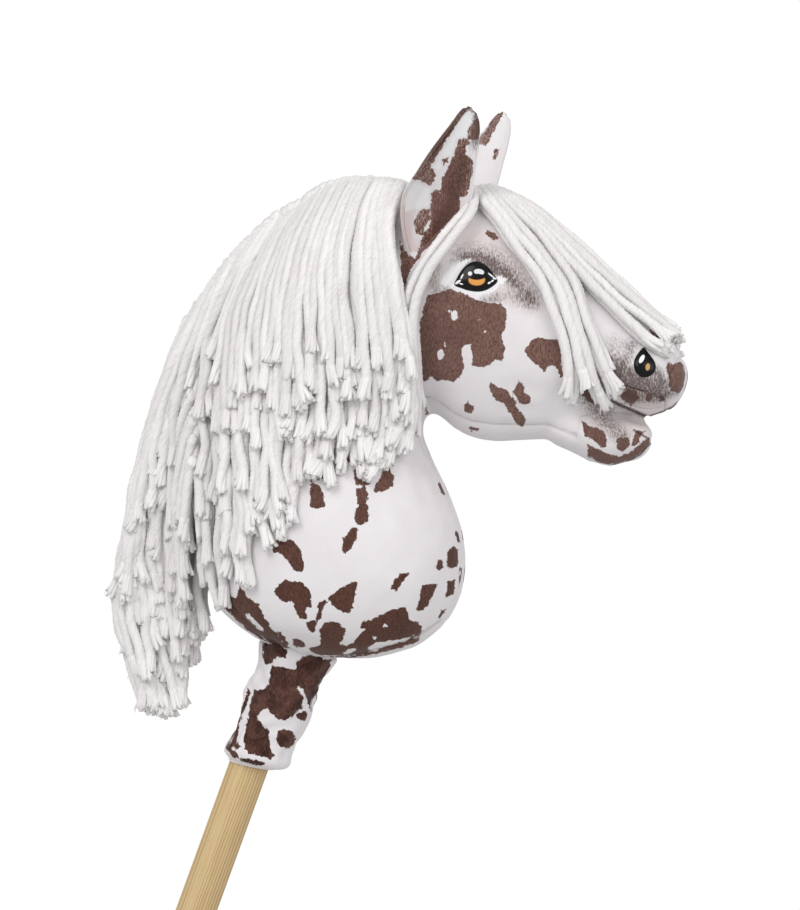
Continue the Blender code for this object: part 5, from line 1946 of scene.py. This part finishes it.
def make_tape():
    """The woven tape on the crest that the yarn is sewn to."""
    source = bmesh.new()
    clean_copy(source, "mane_tape")
    mesh = bpy.data.meshes.new("mane_tape_cotton")
    source.to_mesh(mesh)
    source.free()
    tape = link("mane_tape_cotton", mesh)
    finish_modifier(tape, "SUBSURF", levels=2, render_levels=2, subdivision_type="SIMPLE")
    weave = tape.data.uv_layers.new(name="weave")
    points = points_of(tape.data)
    for loop in tape.data.loops:
        x, y, z = points[loop.vertex_index]
        weave.data[loop.index].uv = (y, z * 0.8 - x * 0.6)
    tape.data.materials.clear()
    tape.data.materials.append(woven_material("crest_tape", (226, 222, 214), 0.0007))
    fit_on_body(tape, "head", "cotton", "mane_tape")
    return tape


# The stage

FLOOR_GAP = 0.5 * MM
LAMP_AIM = 0.72  # height of the place that the lamps point at
LAMP_SIZE = 1.6
LAMPS = {"key": (-0.9, -2.35, 1.75), "fill": (1.9, -1.6, 0.9), "back": (-1.0, 2.2, 1.6)}
BACKDROP = 1.02  # strength of the white that the camera sees


def floor_material():
    finish = Finish("pale_floor")
    soft = noise(finish.where, 3)
    return finish.done(mix(soft, colour((206, 206, 206)), colour((214, 214, 214))), 0.9)


def make_stage(settings):
    scene = bpy.context.scene
    deselect()
    centre = ((CAD_LOW.x + CAD_HIGH.x) / 2, 0, CAD_LOW.z - FLOOR_GAP)
    bpy.ops.mesh.primitive_circle_add(
        vertices=96, radius=settings.floor_radius, fill_type="NGON", location=centre)
    floor = added("floor")
    floor.data.materials.append(floor_material())

    bpy.ops.object.camera_add(location=CAMERA_PLACE, rotation=(math.pi / 2, 0, VIEW_AZIMUTH))
    camera = bpy.context.active_object
    camera.data.sensor_width = SENSOR
    camera.data.lens = SENSOR * VIEW_DISTANCE / (IMAGE_HEIGHT * PIXEL)
    scene.camera = camera

    middle = Vector((centre[0], 0, LAMP_AIM))
    for name, offset in LAMPS.items():
        bpy.ops.object.light_add(type="AREA", location=middle + Vector(offset))
        lamp = bpy.context.active_object
        lamp.name = name + "_lamp"
        lamp.data.size = LAMP_SIZE
        lamp.data.energy = getattr(settings, name + "_power")
        lamp.rotation_euler = Vector(offset).to_track_quat("Z", "Y").to_euler()

    world = bpy.data.worlds.new("white_studio")
    scene.world = world
    world.use_nodes = True
    tree = world.node_tree
    shown = add(tree, "LightPath", output="Is Camera Ray")
    light = shown * (BACKDROP - settings.world_light) + settings.world_light
    join(tree, tree.nodes["Background"], {"Color": (1, 1, 1, 1), "Strength": light})
    scene.view_settings.view_transform = "Standard"
    scene.view_settings.look = "None"


# Settings


def length(name, description, default):
    return FloatProperty(name=name, description=description, default=default, unit="LENGTH")


def strength(name, description, default):
    return FloatProperty(name=name, description=description, default=default)


def tint(name, description, *default):
    return FloatVectorProperty(
        name=name, description=description + ", sRGB values to 255", default=default, size=3)


class CoatSettings(bpy.types.PropertyGroup):
    seam_tuck: length("Seam tuck", "How far the filling is drawn in round a seam", 0.0012)
    seam_depth: length("Seam depth", "How far a seam's own line draws the plush in", 0.0009)
    mouth_depth: length("Mouth depth", "Depth of the line between the lips", 0.0034)
    lip_over: length("Lip", "How far the upper lip stands out over the mouth", 0.0008)
    ear_foot: length("Ear foot", "How far the coat gives way under an ear", 0.007)
    pleat: length("Pleats", "Height of the pleats gathered over the cuff", 0.0007)
    white_low: tint("White, shaded", "Darker white of the plush", 216, 211, 212)
    white_high: tint("White, clean", "Lighter white of the plush", 229, 226, 228)
    brown_low: tint("Brown, deep", "Darkest brown fibres", 84, 58, 51)
    brown_high: tint("Brown, light", "Lightest brown fibres", 138, 108, 99)
    blush: tint("Blush", "Pinkish tint of the forehead and ears", 214, 196, 192)
    # Also the lighter streaks of painted sheen over the cuff's brown
    brushed: tint("Brushed hairs", "Lighter hairs in the ears' brown", 200, 178, 172)
    shade: tint("Brushed shade", "Brown brushed on round eye and muzzle", 88, 70, 66)
    paint: tint("Paint", "White paint round the eye", 232, 232, 233)
    # Colour of the dark lines and of the painted shadow in the mouth and lip crease
    ink: tint("Ink", "Dark lines of mouth and lips", 62, 50, 46)


class StickSettings(bpy.types.PropertyGroup):
    edge: length("Rounded edge", "Radius of the edge at both ends", 0.0015)
    ring_width: length("Ring width", "Distance between growth rings", 0.0018)
    cut: FloatProperty(
        name="Cut", description="Direction of the growth rings across the stick",
        default=math.radians(8), subtype="ANGLE")
    early: tint("Early wood", "Light wood of the rings", 214, 190, 146)
    mid: tint("Middle wood", "Broad darker bands", 204, 178, 132)
    late: tint("Late wood", "Fine dark lines", 170, 138, 92)


class CuffSettings(bpy.types.PropertyGroup):
    hem: length("Hem", "How far the rolled hem stands out", 0.0012)
    hairs: IntProperty(
        name="Hairs", description="Loose hairs of pile on the hem", default=60)


class FaceSettings(bpy.types.PropertyGroup):
    eye_height: length("Eye height", "How far the eye stands out", 0.0022)
    nostril_height: length("Nostril height", "How far the nostril stands out", 0.0019)
    black: tint("Black", "Gloss of eyes and nostrils", 14, 13, 14)
    amber: tint("Amber", "The iris", 216, 152, 78)
    tan: tint("Tan", "The nostril's dot", 188, 148, 90)
    # Also the colour of the nostril's painted highlight
    paint: tint("White", "Painted corners of the eye", 236, 236, 238)
    light: tint("Light", "Painted lights in the eye", 218, 218, 222)


class YarnSettings(bpy.types.PropertyGroup):
    radius: length("Radius", "Half the thickness of a strand", 0.0034)
    pitch: length("Pitch", "Length of one full turn of the plies", 0.028)
    lobe: FloatProperty(
        name="Ply relief", description="How far the plies stand out, as a share",
        default=0.03, subtype="FACTOR")
    fibres: strength("Fibres", "How many fibres show across a strand", 2.5)
    seed: IntProperty(name="Seed", description="Which random mane is made", default=7)
    low: tint("Yarn, dull", "Dullest strands", 226, 223, 222)
    high: tint("Yarn, bright", "Brightest strands", 239, 237, 236)


class StageSettings(bpy.types.PropertyGroup):
    floor_radius: length("Floor radius", "Half the floor's width", 2.6)
    world_light: strength("World light", "Strength of the even white light", 0.70)
    key_power: strength("Key power", "Watts of the large soft lamp", 36.0)
    fill_power: strength("Fill power", "Watts of the lamp on the muzzle's side", 17.0)
    back_power: strength("Back power", "Watts of the lamp behind the toy", 10.0)


# Operators

shared = {}


class HOBBY_OT_make_stick(bpy.types.Operator):
    """Turn the wooden stick"""

    bl_idname = "hobby_horse.make_stick"
    bl_label = "Stick"

    def execute(self, context):
        make_stick(context.scene.hobby_stick)
        return {"FINISHED"}


class HOBBY_OT_make_coat(bpy.types.Operator):
    """Stuff and sew the plush head and neck"""

    bl_idname = "hobby_horse.make_coat"
    bl_label = "Coat"

    def execute(self, context):
        shared["coat"] = make_coat(context.scene.hobby_coat)
        shared["tree"] = tree_of(shared["coat"].data)
        return {"FINISHED"}


class HOBBY_OT_make_cuff(bpy.types.Operator):
    """Sew the cuff, its elastic and the pocket for the stick"""

    bl_idname = "hobby_horse.make_cuff"
    bl_label = "Cuff and pocket"

    def execute(self, context):
        make_cuff(context.scene.hobby_cuff)
        make_elastic()
        make_pocket()
        return {"FINISHED"}


class HOBBY_OT_make_face(bpy.types.Operator):
    """Set the glossy eyes and nostrils on the coat"""

    bl_idname = "hobby_horse.make_face"
    bl_label = "Eyes and nostrils"

    def execute(self, context):
        make_face(shared["tree"], context.scene.hobby_face)
        return {"FINISHED"}


class HOBBY_OT_make_ears(bpy.types.Operator):
    """Cup the ears and line them"""

    bl_idname = "hobby_horse.make_ears"
    bl_label = "Ears"

    def execute(self, context):
        make_ears(context.scene.hobby_coat)
        return {"FINISHED"}


class HOBBY_OT_make_mane(bpy.types.Operator):
    """Sew the tape on the crest and hang the mane from it"""

    bl_idname = "hobby_horse.make_mane"
    bl_label = "Mane"

    def execute(self, context):
        settings = context.scene.hobby_yarn
        shared["yarn"] = yarn_material("mane_yarn", settings)
        make_tape()
        make_mane(shared["coat"], settings, shared["yarn"])
        return {"FINISHED"}


class HOBBY_OT_make_forelock(bpy.types.Operator):
    """Lay the forelock over forehead and nose"""

    bl_idname = "hobby_horse.make_forelock"
    bl_label = "Forelock"

    def execute(self, context):
        make_forelock(shared["coat"], context.scene.hobby_yarn, shared["yarn"])
        return {"FINISHED"}


class HOBBY_OT_make_stage(bpy.types.Operator):
    """Set up the floor, the light and the camera"""

    bl_idname = "hobby_horse.make_stage"
    bl_label = "Stage"

    def execute(self, context):
        make_stage(context.scene.hobby_stage)
        return {"FINISHED"}


class HOBBY_PT_panel(bpy.types.Panel):
    """The makers of each part of the hobby horse"""

    bl_idname = "HOBBY_PT_panel"
    bl_label = "Hobby Horse"
    bl_space_type = "VIEW_3D"
    bl_region_type = "UI"
    bl_category = "Hobby Horse"

    def draw(self, context):
        for operator in OPERATORS:
            self.layout.operator(operator.bl_idname)


SETTINGS = {
    "hobby_coat": CoatSettings,
    "hobby_stick": StickSettings,
    "hobby_cuff": CuffSettings,
    "hobby_face": FaceSettings,
    "hobby_yarn": YarnSettings,
    "hobby_stage": StageSettings,
}
OPERATORS = [
    HOBBY_OT_make_stick,
    HOBBY_OT_make_coat,
    HOBBY_OT_make_cuff,
    HOBBY_OT_make_face,
    HOBBY_OT_make_ears,
    HOBBY_OT_make_mane,
    HOBBY_OT_make_forelock,
    HOBBY_OT_make_stage,
]


def register():
    for kind in [*SETTINGS.values(), *OPERATORS, HOBBY_PT_panel]:
        bpy.utils.register_class(kind)
    for name, kind in SETTINGS.items():
        setattr(bpy.types.Scene, name, PointerProperty(type=kind))


def unregister():
    for name in SETTINGS:
        delattr(bpy.types.Scene, name)
    for kind in reversed([*SETTINGS.values(), *OPERATORS, HOBBY_PT_panel]):
        bpy.utils.unregister_class(kind)


def main():
    register()
    bpy.ops.hobby_horse.make_stick()
    bpy.ops.hobby_horse.make_coat()
    bpy.ops.hobby_horse.make_cuff()
    bpy.ops.hobby_horse.make_face()
    bpy.ops.hobby_horse.make_ears()
    bpy.ops.hobby_horse.make_mane()
    bpy.ops.hobby_horse.make_forelock()
    bpy.ops.hobby_horse.make_stage()


if __name__ == "__main__":
    main()
